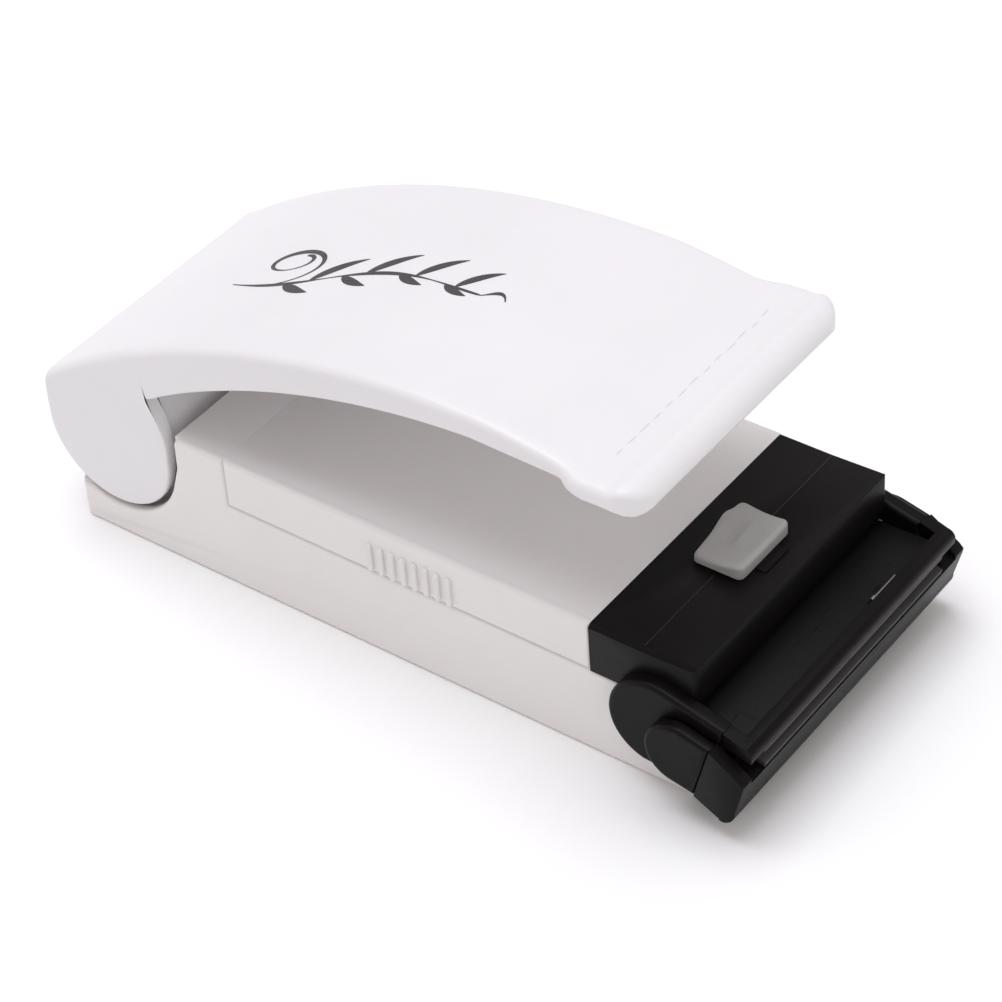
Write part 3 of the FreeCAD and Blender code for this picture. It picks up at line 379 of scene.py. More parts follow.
def plastic(name, colour, rough, spread=0.06, bump=0.05, depth=0.02, grain=2600.0, mottle=70.0,
            scuff=0.3, shades=(0.97, 1.02), **sockets):
    """Moulded plastic: grain bump, mottled colour, scuffed roughness."""
    material, tree, shader = new_material(name)
    skin_grain = add(tree, "ShaderNodeGroup", node_tree=GRAIN, in_0=grain, in_1=mottle)
    scuffs = add(tree, "ShaderNodeGroup", node_tree=SCUFFS, in_1=scuff)
    tree.links.new(tinted(tree, skin_grain.outputs["Mottle"], *shades, colour), shader.inputs["Base Color"])
    wander = math_node(tree, "MULTIPLY_ADD", skin_grain.outputs["Mottle"], spread, rough - spread / 2)
    tree.links.new(math_node(tree, "ADD", wander, scuffs.outputs["Mask"]), shader.inputs["Roughness"])
    bump_with(tree, shader, skin_grain.outputs["Height"], bump, depth)
    for label, value in sockets.items():
        shader.inputs[label.replace("_", " ")].default_value = value
    return material


def metal(name, colour, rough, scale=900.0, stretch=0.06, shades=(0.82, 1.05), bump=0.08):
    """Drawn metal: streaked colour and roughness, with a fine bump across the draw."""
    material, tree, shader = new_material(name)
    drawn = add(tree, "ShaderNodeGroup", node_tree=DRAWN, in_0=scale, in_1=stretch)
    tree.links.new(tinted(tree, drawn.outputs["Streak"], *shades, colour), shader.inputs["Base Color"])
    wander = math_node(tree, "MULTIPLY_ADD", drawn.outputs["Streak"], 0.12, rough)
    tree.links.new(wander, shader.inputs["Roughness"])
    bump_with(tree, shader, drawn.outputs["Height"], bump, 0.02)
    shader.inputs["Metallic"].default_value = 1.0
    return material


print("materials so far:", len(bpy.data.materials))

# %% The finishes
SOFT_LIGHT = {"Subsurface_Weight": 0.08, "Subsurface_Scale": 0.002}   # light that sinks into white plastic
FINISHES = {
    # The lever and the body are one white plastic in two painted copies: the lever's is a touch bluer, painted
    # light from the panel above, and the body's is darker and warmer, painted shade.
    "white_plastic": plastic("white_gloss_plastic", (0.785, 0.775, 0.79), 0.36, scuff=0.06, **SOFT_LIGHT),
    "body_white": plastic("white_body_plastic", (0.785, 0.758, 0.75), 0.38, scuff=0.06, **SOFT_LIGHT),
    "black_plastic": plastic("black_satin_plastic", (0.0044, 0.0036, 0.0034), 0.36, bump=0.2, depth=0.03,
                             scuff=0.12, shades=(0.8, 1.35), Specular_IOR_Level=0.11),
    "dark_grey_plastic": plastic("dark_grey_plastic", (0.0055, 0.0055, 0.0058), 0.5, bump=0.2, depth=0.03,
                                 shades=(0.85, 1.2), Specular_IOR_Level=0.13),
    "print_ink": plastic("print_ink", (0.045, 0.042, 0.045), 0.45, bump=0.05, shades=(0.7, 1.5),
                         mottle=400.0),
    # painted highlight: a grey a little lighter than the black plastic, for the light that the head's fold
    # catches
    "painted_fold_highlight": plastic("painted_fold_highlight", (0.022, 0.02, 0.02), 0.4),
    # painted shade: the witness marks are low beads of the white plastic, painted light grey for the shading of
    # their sides
    "witness": plastic("witness_marks_painted_shade", (0.64, 0.63, 0.65), 0.4, bump=0.05),
    "grey_plastic": plastic("grey_soft_plastic", (0.37, 0.365, 0.355), 0.55, bump=0.3, depth=0.03,
                            shades=(0.92, 1.08)),
    "plated_steel": metal("plated_steel", (0.72, 0.72, 0.73), 0.22),
    "spring_steel": metal("spring_steel", (0.55, 0.55, 0.57), 0.3),
    "cell_can": metal("printed_cell_can", (0.30, 0.32, 0.34), 0.35, scale=300.0, stretch=0.4),
    "heater_alloy": metal("heater_ribbon", (0.62, 0.55, 0.47), 0.35),
    "clip_steel": metal("clip_steel", (0.36, 0.33, 0.33), 0.34),
    "release_tape": plastic("release_tape", (0.05, 0.04, 0.035), 0.6, bump=0.5, depth=0.05, grain=900.0),
    "silicone": plastic("silicone_pad", (0.045, 0.043, 0.042), 0.65, bump=0.2, depth=0.04),
    "brass": metal("brass_terminal", (0.78, 0.60, 0.28), 0.28),
    "lead_insulation": plastic("lead_insulation", (0.35, 0.02, 0.015), 0.45, bump=0.1),
}
print(len(FINISHES), "finishes")

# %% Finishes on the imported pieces
for node in frame["nodes"].values():
    for material_slot in node.material_slots:
        material_slot.material = FINISHES[material_slot.material.name.split(".")[0]]
frame["nodes"]["ribbon_clip"].material_slots[0].material = FINISHES["clip_steel"]
# The casings and cell door take the darker, warmer white: painted shade on the body.
for node_name in ("lower_casing", "upper_casing", "battery_door"):
    frame["nodes"][node_name].material_slots[0].material = FINISHES["body_white"]
print("finished nodes:", len(frame["nodes"]))


# %% [markdown]
# ## The press lever
# The lever is one moulding: a thin arched shell, open underneath, with a solid
# lip at the front and two round ears at the back that carry the hinge. It could
# be cut out of a block with booleans, but a section carried along the back keeps
# every edge evenly rounded. At each station a line runs from a point on the back
# down to a point on the lower edge, and the section is hung on that line.

# %% Curves through given points
def clamped_curve(x_known, z_known, slope_start, slope_end):
    """A smooth curve through known points: cubic pieces whose slopes come from
    setting the bend equal on both sides of each inner point."""
    x_known, z_known = np.asarray(x_known, float), np.asarray(z_known, float)
    gap, rise = np.diff(x_known), np.diff(z_known)
    count = len(x_known)
    left, right = np.eye(count), np.zeros(count)
    right[0], right[-1] = slope_start, slope_end
    for i in range(1, count - 1):
        left[i, i - 1:i + 2] = [gap[i], 2 * (gap[i - 1] + gap[i]), gap[i - 1]]
        right[i] = 3 * (gap[i] * rise[i - 1] / gap[i - 1] + gap[i - 1] * rise[i] / gap[i])
    slope = np.linalg.solve(left, right)

    def height(x):
        x = np.asarray(x, float)
        i = np.clip(np.searchsorted(x_known, x) - 1, 0, count - 2)
        t = (x - x_known[i]) / gap[i]
        return ((2 * t**3 - 3 * t**2 + 1) * z_known[i] + (t**3 - 2 * t**2 + t) * gap[i] * slope[i]
                + (3 * t**2 - 2 * t**3) * z_known[i + 1] + (t**3 - t**2) * gap[i] * slope[i + 1])
    return height


def along(points, count):
    """Evenly spaced points on a smooth curve through the given ones: a cubic in
    the running length for each coordinate."""
    points = np.asarray(points, float)
    run = np.concatenate([[0], np.cumsum(np.linalg.norm(np.diff(points, axis=0), axis=1))])
    want = np.linspace(0, run[-1], count)
    first, last = (points[1] - points[0]) / run[1], (points[-1] - points[-2]) / (run[-1] - run[-2])
    return np.stack([clamped_curve(run, points[:, k], first[k], last[k])(want) for k in (0, 1)], 1)


wave = along([(0, 0), (1, 1), (2, 0)], 5)
print("five points on a curve through three:", wave.round(2).tolist())

# %% The lever's back and lower edge
HALF_WIDTH = -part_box("lower_casing")[0].y / MM
BACK_CENTRE, BACK_RADIUS = (-16.1, -67.6), 110.2
CREST_X = -15.0          # the arch ends here and the fall to the lip begins
DIP, LIP_REAR_X, LIP_LOW = (0.8, 41.1), -2.6, 38.4
LIP_CORNER = 4.4
LIP_FRONT, NOSE_Z = 8.35, 39.5
LIP_FLARE = 1.3          # the lip stands out past the lever's sides
LIP_HOLLOW = 0.22        # depth of the hollow behind the lip's rim
HINGE = (-72.0, 14.5)
EAR = 9.5                # radius of the round ears about the hinge
LEVER_WALL = 1.8
END_GAP = 0.02           # half the height of the first and last rows, which are capped


def arch(x):
    """Height of the long arch: the top of a circle."""
    return BACK_CENTRE[1] + np.sqrt(BACK_RADIUS ** 2 - (np.asarray(x, float) - BACK_CENTRE[0]) ** 2)


FALL = clamped_curve([CREST_X, -4.2, DIP[0], 7.1], [float(arch(CREST_X)), 41.45, DIP[1], 42.0], -0.01, 0.103)


def back(x):
    """Height of the lever's back: the arch, then the fall to the dip and the lip,
    less a shallow hollow behind the lip's rim."""
    x = np.asarray(x, float)
    hollow = LIP_HOLLOW * np.exp(-((x - 3.9) / 1.2) ** 2)
    return np.where(x <= CREST_X, arch(x), FALL(np.maximum(x, CREST_X))) - hollow


def skirt(x):
    """Height of the skirt's lower edge: the back less a depth that thins towards
    the lip; ahead of the crest the back is taken as a straight fall."""
    x = np.asarray(x, float)
    share = np.clip((x + 64.9) / 62.3, 0, 1)
    straight = arch(CREST_X) + (x - CREST_X) / (DIP[0] - CREST_X) * (DIP[1] - arch(CREST_X))
    return np.where(x <= CREST_X, arch(x), straight) - (7.7 - 5.6 * share ** 0.8)


for x in (HINGE[0], CREST_X, DIP[0]):
    print(f"at x {x}: back {float(back(x)):.2f} mm, lower edge {float(skirt(x)):.2f} mm")

# %% The lever's stations
REAR_TIP = np.array([-81.45, 17.4])
REAR_TOP, REAR_TOP_RADIUS = (-80.5, 20.75), 0.95
HOLLOW_FROM = 219.9      # degrees round the ear at which the shell becomes hollow
NECK = [(-62.5, 14.5), (-62.35, 17.2), (-62.7, 19.6), (-63.7, 22.0), (-64.35, 23.2)]
TURN = [(-64.35, 23.2), (-64.45, 23.75), (-63.9, 24.2), (-62.9, 24.75)]
NOSE_TOP_X, NOSE_LOW_X = 5.2, 6.8


def lever_stations():
    """Pairs of points, one on the back and one on the lower edge, from the rear
    face to the nose of the lip, and whether the section there is solid."""
    sliver = np.array([0, END_GAP])
    corner = arc(REAR_TOP, REAR_TOP_RADIUS, 180, 118, 5)
    wall_back = np.vstack([[REAR_TIP + sliver], [(-81.47, 19.2)], corner,
                           [(x, float(back(x))) for x in (-80.2, -79.7)]])
    wall_low = np.vstack([[REAR_TIP - sliver], [(-81.5, 15.6)], arc(HINGE, EAR, 180, HOLLOW_FROM, 7)])
    ear_low = arc(HINGE, EAR, HOLLOW_FROM, 360, 30)
    neck = along(NECK, 12)[1:]
    turn = along(TURN, 7)[1:]
    run_x = np.concatenate([np.linspace(-62.2, -16, 56), np.linspace(-15, -4.4, 18)])
    low_run = np.stack([run_x, skirt(run_x)], 1)
    x_ear = np.linspace(-79.7, -69.2, len(ear_low))
    x_neck = np.linspace(-69.2, -65.3, len(neck) + 1)[1:]
    x_turn = np.linspace(-65.3, -63.2, len(turn) + 1)[1:]
    x_back = np.concatenate([x_ear, x_neck, x_turn, run_x])
    hollow_back = np.stack([x_back, back(x_back)], 1)
    hollow_low = np.vstack([ear_low, neck, turn, low_run])
    share = np.linspace(0, 1, 40)
    lip_x = np.concatenate([[-4.4, -3.4, LIP_REAR_X], -2.5 + 7.7 * share])
    lip_low_x = np.concatenate([[-4.4, -3.4, LIP_REAR_X], -2.5 + 9.3 * share])
    lip_low = np.where(lip_low_x <= LIP_REAR_X, skirt(lip_low_x),
                       LIP_LOW + 0.9 * np.exp(-((lip_low_x + 2.5) / 0.5) ** 2))
    lip_back = np.stack([lip_x, back(lip_x)], 1)
    lip_low = np.stack([lip_low_x, lip_low], 1)
    angle = np.radians(np.linspace(87, 0, 14))
    ring = np.stack([np.cos(angle), np.sin(angle)], 1)
    high, low = NOSE_Z + END_GAP, NOSE_Z - END_GAP
    nose_back = (NOSE_TOP_X, high) + ring * (LIP_FRONT - NOSE_TOP_X, float(back(NOSE_TOP_X)) - high)
    nose_low = (NOSE_LOW_X, low) + ring * (LIP_FRONT - NOSE_LOW_X, LIP_LOW - low)
    backs = np.vstack([wall_back, hollow_back, lip_back, nose_back])
    lows = np.vstack([wall_low, hollow_low, lip_low, nose_low])
    solid = np.concatenate([np.ones(len(wall_back)), np.zeros(len(hollow_back)),
                            np.ones(len(lip_back) + len(nose_back))]).astype(bool)
    return backs, lows, solid


BACKS, LOWS, SOLID = lever_stations()
print(len(BACKS), "stations,", int(SOLID.sum()), "of them solid")

# %% The lever's section
BACK_ROUND, FOOT_ROUND, CEILING_ROUND = 1.25, 0.5, 0.7
MOST = 0.46              # the largest share of a station's length that one round may take


def half_width(x):
    """Half the lever's width: even, a smooth step out where the lip begins, then
    a quarter circle at the lip's corners."""
    x = np.asarray(x)
    past = np.clip(x - (LIP_FRONT - LIP_CORNER), 0, LIP_CORNER)
    step = np.clip((x + 3.4) / 4.2, 0, 1)
    flare = LIP_FLARE * step * step * (3 - 2 * step)
    return HALF_WIDTH + flare - LIP_CORNER + np.sqrt(LIP_CORNER ** 2 - past ** 2)


def lever_skin(backs, lows, solid):
    """The lever as rows of section points. Each point has a distance from the
    middle of the lever and a drop down the station's line."""
    line = lows - backs
    length = np.linalg.norm(line, axis=1)
    down = line / np.maximum(length, 1e-6)[:, None]
    grown = np.clip((backs[:, 0] - LIP_REAR_X) / 4.0, 0, 1)
    tighter = np.where(backs[:, 0] > -12, 1 - grown, np.clip((backs[:, 0] + 30) / 18, 0, 1))
    top_r = np.minimum(BACK_ROUND - 0.3 * tighter, length * MOST)[:, None]
    foot_r = np.minimum(FOOT_ROUND + 0.9 * grown, length * MOST)[:, None]
    length = length[:, None]
    quarter = np.linspace(0, math.pi / 2, 6)[None]
    flat = np.array([0, 0.2, 0.4, 0.6, 0.8, 0.93])[None]
    wall = LEVER_WALL
    width = half_width(backs[:, 0])[:, None]
    share = np.array([0.25, 0.5, 0.75])[None]
    columns = [                           # each: (distance from the middle, drop)
        (flat * (width - top_r), 0 * flat * top_r),
        (width - top_r + top_r * np.sin(quarter), top_r * (1 - np.cos(quarter))),
        (width + 0 * share, top_r + share * (length - top_r - foot_r)),
        (width - foot_r * (1 - np.cos(quarter)), length - foot_r * (1 - np.sin(quarter)))]
    # hollow stations: round the foot, up the inner side, round into the ceiling
    inner_foot = (width - wall + foot_r * (1 - np.sin(quarter)), length - foot_r * (1 - np.cos(quarter)))
    rise = np.array([0.3, 0.7])[None]
    ceiling = np.minimum(wall, length * 0.45)
    corner_r = np.minimum(CEILING_ROUND, np.maximum(length - ceiling - foot_r, 0.02) * 0.45)
    inner_side = (width - wall + 0 * rise, (length - foot_r) + rise * (ceiling + corner_r - length + foot_r))
    inner_corner = (width - wall - corner_r * (1 - np.cos(quarter)), ceiling + corner_r * (1 - np.sin(quarter)))
    roof = (flat[:, ::-1] * (width - wall - corner_r), ceiling + 0 * flat)
    # solid stations: the same number of points, spread over the flat underside
    spread = np.linspace(1, 0, 6 + 2 + 6 + 6)[None]
    under = ((width - foot_r) * spread, length + 0 * spread)
    hollow = [np.concatenate(pair, 1) for pair in zip(inner_foot, inner_side, inner_corner, roof)]
    inner = [np.where(solid[:, None], u, h) for u, h in zip(under, hollow)]
    columns.append(tuple(inner))
    across = np.concatenate([c[0] + 0 * width for c in columns], 1)
    drop = np.concatenate([c[1] + 0 * width for c in columns], 1)
    place = backs[:, None] + down[:, None] * drop[..., None]
    # low points follow the lip's plan corner at their own x
    across = np.minimum(across, half_width(place[..., 0]))
    right = np.stack([place[..., 0], across, place[..., 1]], -1)
    left = right[:, ::-1] * (1, -1, 1)
    rows = np.concatenate([right, left], 1)
    points, quads = skin(rows)
    around = rows.shape[1]
    return points, quads.tolist() + [cap(0, around, False), cap(len(points) - around, around, True)]


shell = lever_skin(BACKS, LOWS, SOLID)
print("the lever's skin has", len(shell[1]), "faces before its doubled points merge")


# %% Crank webs and neck wall
def crank_web(side):
    """Plate under the back that carries the crank pin: round foot, straight sides."""
    foot = arc((HINGE[0], HINGE[1] - 5.2), 1.9, 180, 360, 12)
    front, rear = HINGE[0] + 3.5, HINGE[0] - 3.5
    outline = np.vstack([foot, [(front, HINGE[1]), (front, float(back(front)) - 1.0),
                                (rear, float(back(rear)) - 1.0), (rear, HINGE[1])]])
    y0, y1 = sorted((side * 14.9, side * 16.0))
    return slab(outline, y0, y1, radius=0.15, steps=2)


def neck_wall():
    """Wall between the ears under the back, just behind their front edge: it
    follows the neck and closes the hinge barrel off from the space ahead."""
    face = along([(-63.3, 14.2), (-63.1, 17.2), (-63.5, 19.8), (-64.4, 22.2), (-64.9, 24.4),
                  (-65.0, 30.2)], 24)
    inner = face[::-1] - (1.2, 0)
    return slab(np.vstack([face, inner]), -(HALF_WIDTH - 1.4), HALF_WIDTH - 1.4, radius=0.15, steps=2)


lever = make_piece("lever", "white_plastic", [shell, crank_web(1), crank_web(-1), neck_wall()])
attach(lever, "lever")
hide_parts("lever_shell")


# %% [markdown]
# ## Marks on the lever
# A moulded lever like this has a row of short witness marks where its lip turns
# up, and a printed ornament on its back. The marks are low beads of the white
# plastic, painted light grey: painted shade for the shading of their sides. The print is a thin film of dark
# ink,
# so each stroke is a ribbon laid along a curve, swelling and thinning as a pen
# does, and draped on the back. The pattern is a leaf sprig with a curl, a plain
# ornament with no letters in it.

# %% Strokes draped on the back
INK_PROUD, INK_SUNK = 0.04, 0.08
SPRIG_CENTRE, SPRIG_TURN = (-44.0, -0.6), math.radians(7.5)


def drape(points, lift):
    """Points (x, y) put on the lever's back, lifted by a height."""
    return np.stack([points[..., 0], points[..., 1], back(points[..., 0]) + lift], -1)


def stroke(path, widths, proud=INK_PROUD):
    """A ribbon along a path in the sprig's own plane: at each point, half the
    width to each side, square to the path. Four edges make it a closed bar."""
    path = np.asarray(path, float)
    ahead = np.gradient(path, axis=0)
    ahead /= np.linalg.norm(ahead, axis=1, keepdims=True)
    side = np.stack([-ahead[:, 1], ahead[:, 0]], 1) * np.asarray(widths)[:, None] / 2
    cosine, sine = math.cos(SPRIG_TURN), math.sin(SPRIG_TURN)
    turn = np.array([[cosine, sine], [-sine, cosine]])
    left, right = (path + side) @ turn + SPRIG_CENTRE, (path - side) @ turn + SPRIG_CENTRE
    rows = np.stack([drape(left, proud), drape(right, proud),
                     drape(right, -INK_SUNK), drape(left, -INK_SUNK)], 1)
    points, quads = skin(rows)
    last = len(points) - 4
    return points, quads.tolist() + [cap(0, 4, False), cap(last, 4, True)]


def pen(count, thin=0.16, thick=0.62, waves=1.0):
    """Pen width along a stroke: thin at both ends, swelling in waves between."""
    t = np.linspace(0, 1, count)
    swell = np.abs(np.sin(math.pi * waves * t)) ** 1.5
    return thin + (thick - thin) * swell * np.sin(math.pi * t) ** 0.4


print("pen width at five points:", pen(5, waves=2.5).round(2).tolist())


# %% Leaf and stem
def leaf(base, angle, long, wide, bend):
    """A leaf: a bent midrib whose width swells as a sine and ends in a point."""
    t = np.linspace(0, 1, 14)
    turn = angle + bend * t
    step = np.stack([np.cos(turn), np.sin(turn)], 1) * long / 13
    path = np.asarray(base) + np.vstack([[0, 0], np.cumsum(step[1:], axis=0)])
    return stroke(path, 0.05 + wide * np.sin(math.pi * t ** 0.8) ** 0.9)


def stem(t):
    """The sprig's stem: a long wave that flattens towards its tip."""
    return np.stack([-18.5 + 35.0 * t, -1.6 + 1.7 * np.sin(2.2 * math.pi * t + 3.3) * (1 - 0.4 * t)], -1)


STEM_STEPS = 70
strokes = [stroke(stem(np.linspace(0, 1, STEM_STEPS)), pen(STEM_STEPS, thick=0.75, waves=2.5))]
LEAF_PLACES = (0.24, 0.33, 0.45, 0.53, 0.66, 0.72, 0.85, 0.89)       # shares of the stem, low and high in turn
for number, place in enumerate(LEAF_PLACES):
    size = 1.0 - 0.3 * place
    lean, long, bend = (1.05, 8.6, -0.6) if number % 2 else (-0.75, 5.4, 0.6)
    strokes.append(leaf(stem(np.array([place]))[0], lean, long * size, 1.5 * size, bend))
print(len(strokes), "strokes so far: the stem and its leaves")

# %% Curl, tendril and the whole sprig
swing = np.linspace(0, 1, 60)
root = stem(np.array([0.17]))[0]
curl_turn, curl_reach = 3.0 * math.pi * swing, 4.4 * (1 - 0.8 * swing ** 0.8)
curl = root + np.stack([1.35 * curl_reach * np.sin(curl_turn) + 1.5 * swing,
                        4.4 + 1.6 * swing - curl_reach * np.cos(curl_turn)], 1)
strokes.append(stroke(curl, pen(60, thick=0.9, waves=1.5)))
tip = stem(np.array([1.0]))[0]
tendril = tip + np.stack([3.4 * swing ** 0.8, 2.6 * swing - 2.9 * swing ** 3], 1)
strokes.append(stroke(tendril, pen(60, thick=0.6)))
sprig = make_piece("printed_sprig", "print_ink", strokes)
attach(sprig, "lever")

# %% Witness marks
MARK_X, MARK_REACH, MARK_COUNT = 1.4, 14.5, 13


def low_dome(x, y, long, wide, proud):
    """A low oval bead on the back: circles shrinking to its top, sunk a little."""
    turn = np.linspace(0, 2 * math.pi, 10, endpoint=False)
    rows = []
    for share, lift in ((0.02, -0.05), (1.0, -0.05), (1.0, 0.0), (0.7, proud * 0.7), (0.02, proud)):
        oval = np.stack([x + wide / 2 * share * np.cos(turn), y + long / 2 * share * np.sin(turn)], 1)
        rows.append(drape(oval, lift))
    points, quads = skin(np.stack(rows))
    return points, quads.tolist() + [cap(0, 10, False), cap(len(points) - 10, 10, True)]


# The marks are painted light grey: painted shade for the low beads' sides.
marks = [low_dome(MARK_X + 0.25 * math.sin(3.1 * i), y, 1.5 + 0.7 * math.sin(2.3 * i) ** 2, 0.2, 0.03)
         for i, y in enumerate(np.linspace(-MARK_REACH, MARK_REACH, MARK_COUNT))]
witness = make_piece("witness_marks", "witness", marks)
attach(witness, "lever")


# %% [markdown]
# ## Jaw plates
# The fixed ears and the moving arms are flat plates with a round rear end. Each
# is a side outline carried across its thickness, with all its edges rounded, as
# the real mouldings are where a finger meets them.

# %% Fixed ears and moving arms
JAW_FALL = math.tan(math.radians(14))
EAR_ROUND, ARM_ROUND = 0.6, 0.55


def jaw_plate(centre, radius, last, count, low_x, low_share, top_x):
    """Round rear about a centre, from 76 degrees to the last; a top edge that
    falls 14 degrees to the seam, and a lower edge with a share of that fall."""
    bow = arc(centre, radius, 76, last, count)
    seam_top = bow[0, 1] - (top_x - bow[0, 0]) * JAW_FALL
    seam_low = bow[-1, 1] - (low_x - bow[-1, 0]) * JAW_FALL * low_share
    return np.vstack([bow, [(low_x, seam_low), (top_x, seam_top)]])


EAR_OUTLINE = jaw_plate((9.5, 10.2), 6.1, 256, 48, 17.77, 0.35, 18.97)
ARM_OUTLINE = jaw_plate((13.7, 9.3), 4.2, 261.6, 40, 16.07, 0.75, 18.27)
for side, word in ((-1, "left"), (1, "right")):
    ear_y = sorted((side * 19.6, side * 21.8))
    ear = make_piece(f"fixed_ear_{word}", "black_plastic",
                     [slab(EAR_OUTLINE, *ear_y, radius=EAR_ROUND, steps=5)])
    arm_y = sorted((side * 21.9, side * 23.7))
    arm = make_piece(f"moving_arm_{word}", "black_plastic",
                     [slab(ARM_OUTLINE, *arm_y, radius=ARM_ROUND, steps=5)])
    for piece, body, node in ((ear, "housing", f"jaw_ear_{word}"), (arm, "jaw", f"jaw_arm_{word}")):
        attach(piece, body)
        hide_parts(node)


# %% [markdown]
# ## Slide button
# The switch is a small grey thumb block: raised rims front and back, a dish
# between them that is lowest in the middle, and a fine groove across it. It is a
# height field: a grid of points over the block's plan with the height worked out
# at each, closed by straight sides. A thin black flange under it hides the end
# of the slot that it slides in.

# %% Height blocks
def even_lines(low, high, fine, rim, count):
    """Grid lines from low to high, closer together within rim of each end."""
    near = rim * (1 - np.cos(np.linspace(0, math.pi / 2, fine)))
    inner = np.linspace(low + rim, high - rim, count)[1:-1]
    return np.concatenate([low + near, inner, high - near[::-1]])


def height_block(x_span, y_span, low, top, rim, corner):
    """A block whose top is top(x, y), rounded down by a quarter circle within rim
    of its border, with plan corners pulled in to an arc."""
    x = even_lines(*x_span, 6, rim, 22)
    y = even_lines(*y_span, 6, rim, 26)
    gx, gy = np.meshgrid(x, y, indexing="ij")
    cx, cy = (x[0] + x[-1]) / 2, (y[0] + y[-1]) / 2
    hx, hy = (x[-1] - x[0]) / 2 - corner, (y[-1] - y[0]) / 2 - corner
    ox, oy = np.maximum(np.abs(gx - cx) - hx, 0), np.maximum(np.abs(gy - cy) - hy, 0)
    out = np.hypot(ox, oy)
    pull = np.where((ox > 0) & (oy > 0) & (out > 0), np.maximum(ox, oy) / np.maximum(out, 1e-9), 1.0)
    gx = np.where(ox > 0, cx + np.sign(gx - cx) * (hx + ox * pull), gx)
    gy = np.where(oy > 0, cy + np.sign(gy - cy) * (hy + oy * pull), gy)
    edge = corner - np.hypot(np.maximum(np.abs(gx - cx) - hx, 0), np.maximum(np.abs(gy - cy) - hy, 0))
    from_side = (x[-1] - x[0]) / 2 - np.abs(gx - cx)
    from_end = (y[-1] - y[0]) / 2 - np.abs(gy - cy)
    edge = np.minimum(edge, np.minimum(from_side, from_end))
    near = np.clip(1 - np.maximum(edge, 0) / rim, 0, 1)
    gz = top(gx, gy) - rim * (1 - np.sqrt(1 - near ** 2))
    points = np.stack([gx, gy, gz], -1)
    index = np.arange(gx.size).reshape(gx.shape)
    top_faces = np.stack([index[:-1, :-1], index[1:, :-1], index[1:, 1:], index[:-1, 1:]], -1).reshape(-1, 4)
    border = np.concatenate([index[:, 0], index[-1, 1:], index[-2::-1, -1], index[0, -2:0:-1]])
    foot = points.reshape(-1, 3)[border] * (1, 1, 0) + (0, 0, low)
    foot_index = np.arange(len(border)) + gx.size
    sides = np.stack([border, foot_index, np.roll(foot_index, -1), np.roll(border, -1)], -1)
    faces = top_faces.tolist() + sides.tolist() + [foot_index.tolist()]
    return np.vstack([points.reshape(-1, 3), foot]), faces


print("grid lines over 10 mm:", len(even_lines(-5, 5, 6, 0.55, 26)))

# %% The thumb block
BUTTON_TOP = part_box("slide_button")[1].z / MM - 0.45
BUTTON_X = (3.9, 10.6)
BLACK_BELOW = 19.802     # the flange and stem below this are black


def button_top(x, y):
    """Height of the thumb dish: a rim at each end, a bowl between them that is
    deeper in the middle, a hump on the rear rim, one low rear corner, and a
    groove along the foot of the hump. u runs rear to front, v side to side."""
    u = (x - sum(BUTTON_X) / 2 - 0.2) / (BUTTON_X[1] - BUTTON_X[0]) * 2
    v = y / 5.0
    bowl = 0.6 * np.clip(1 - (u / 0.78) ** 2, 0, 1) ** 1.2 * (1 - 0.6 * v ** 2)
    saddle = 0.55 * (1 - v ** 2) * np.clip(1.15 - np.abs(u), 0, 1)
    hump = 0.85 * np.exp(-((v - 0.3) / 0.32) ** 2) * np.clip((0.3 - u) / 1.3, 0, 1)
    fall = 0.8 * np.clip((0.6 - u) / 1.6, 0, 1) * np.clip(-v - 0.05, 0, 1)
    groove = 0.4 * np.exp(-((x - 6.4) / 0.26) ** 2) * np.clip(1.5 - np.abs(v - 0.15) * 2.2, 0, 1)
    return BUTTON_TOP - bowl - saddle + hump - fall - groove


block = height_block(BUTTON_X, (-5.1, 5.1), 19.77, button_top, rim=0.55, corner=0.8)
stem_outline = np.array([(5.75, 16.9), (8.75, 16.9), (8.75, 20.0), (5.75, 20.0)])
foot_outline = np.array([(4.75, 16.55), (9.75, 16.55), (9.75, 17.72), (4.75, 17.72)])
flange_outline = np.array([(4.4, 19.762), (12.1, 19.762), (12.1, 19.8), (4.4, 19.8)])
button = make_piece("thumb_slide", "grey_plastic", [
    block, slab(flange_outline, -2.4, 2.4, 0.015, 1, 0.01),
    slab(stem_outline, -2.0, 2.0, 0.1, 1), slab(foot_outline, -3.2, 3.2, 0.1, 1)])
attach(button, "button")
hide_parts("slide_button")


# %% Black below, grey above
def paint_where(piece, finish, test):
    """Gives the faces whose middle passes a test a second finish."""
    piece.data.materials.append(finish)
    middles = np.empty(len(piece.data.polygons) * 3)
    piece.data.polygons.foreach_get("center", middles)
    chosen = test(middles.reshape(-1, 3) / MM)
    index = np.where(chosen, len(piece.data.materials) - 1, 0)
    piece.data.polygons.foreach_set("material_index", index.astype(np.int32))
    return int(chosen.sum())


painted = paint_where(button, FINISHES["black_plastic"], lambda p: p[:, 2] < BLACK_BELOW)
print("black faces on the slide:", painted)


# %% [markdown]
# ## Guard shelf, crease and ribbon clip
# Behind the fixed bar a thin dark shelf keeps fingers and film out of the works.
# It is a flat plate with rounded edges. The top of the head is folded very
# slightly across its middle, and the light that the fold catches is painted on
# as one fine strip a little lighter than the black head. A small bright clip
# on the bar's rear face holds the end of the heating ribbon.

# %% Shelf and painted crease highlight
shelf_outline = rounded([(13.45, 12.2), (20.35, 12.1), (20.55, 12.62), (13.45, 12.56)], [0, 0.1, 0.1, 0], 4)
shelf = make_piece("guard_shelf", "dark_grey_plastic", [slab(shelf_outline, -19.4, 19.4, radius=0.1, steps=2)])
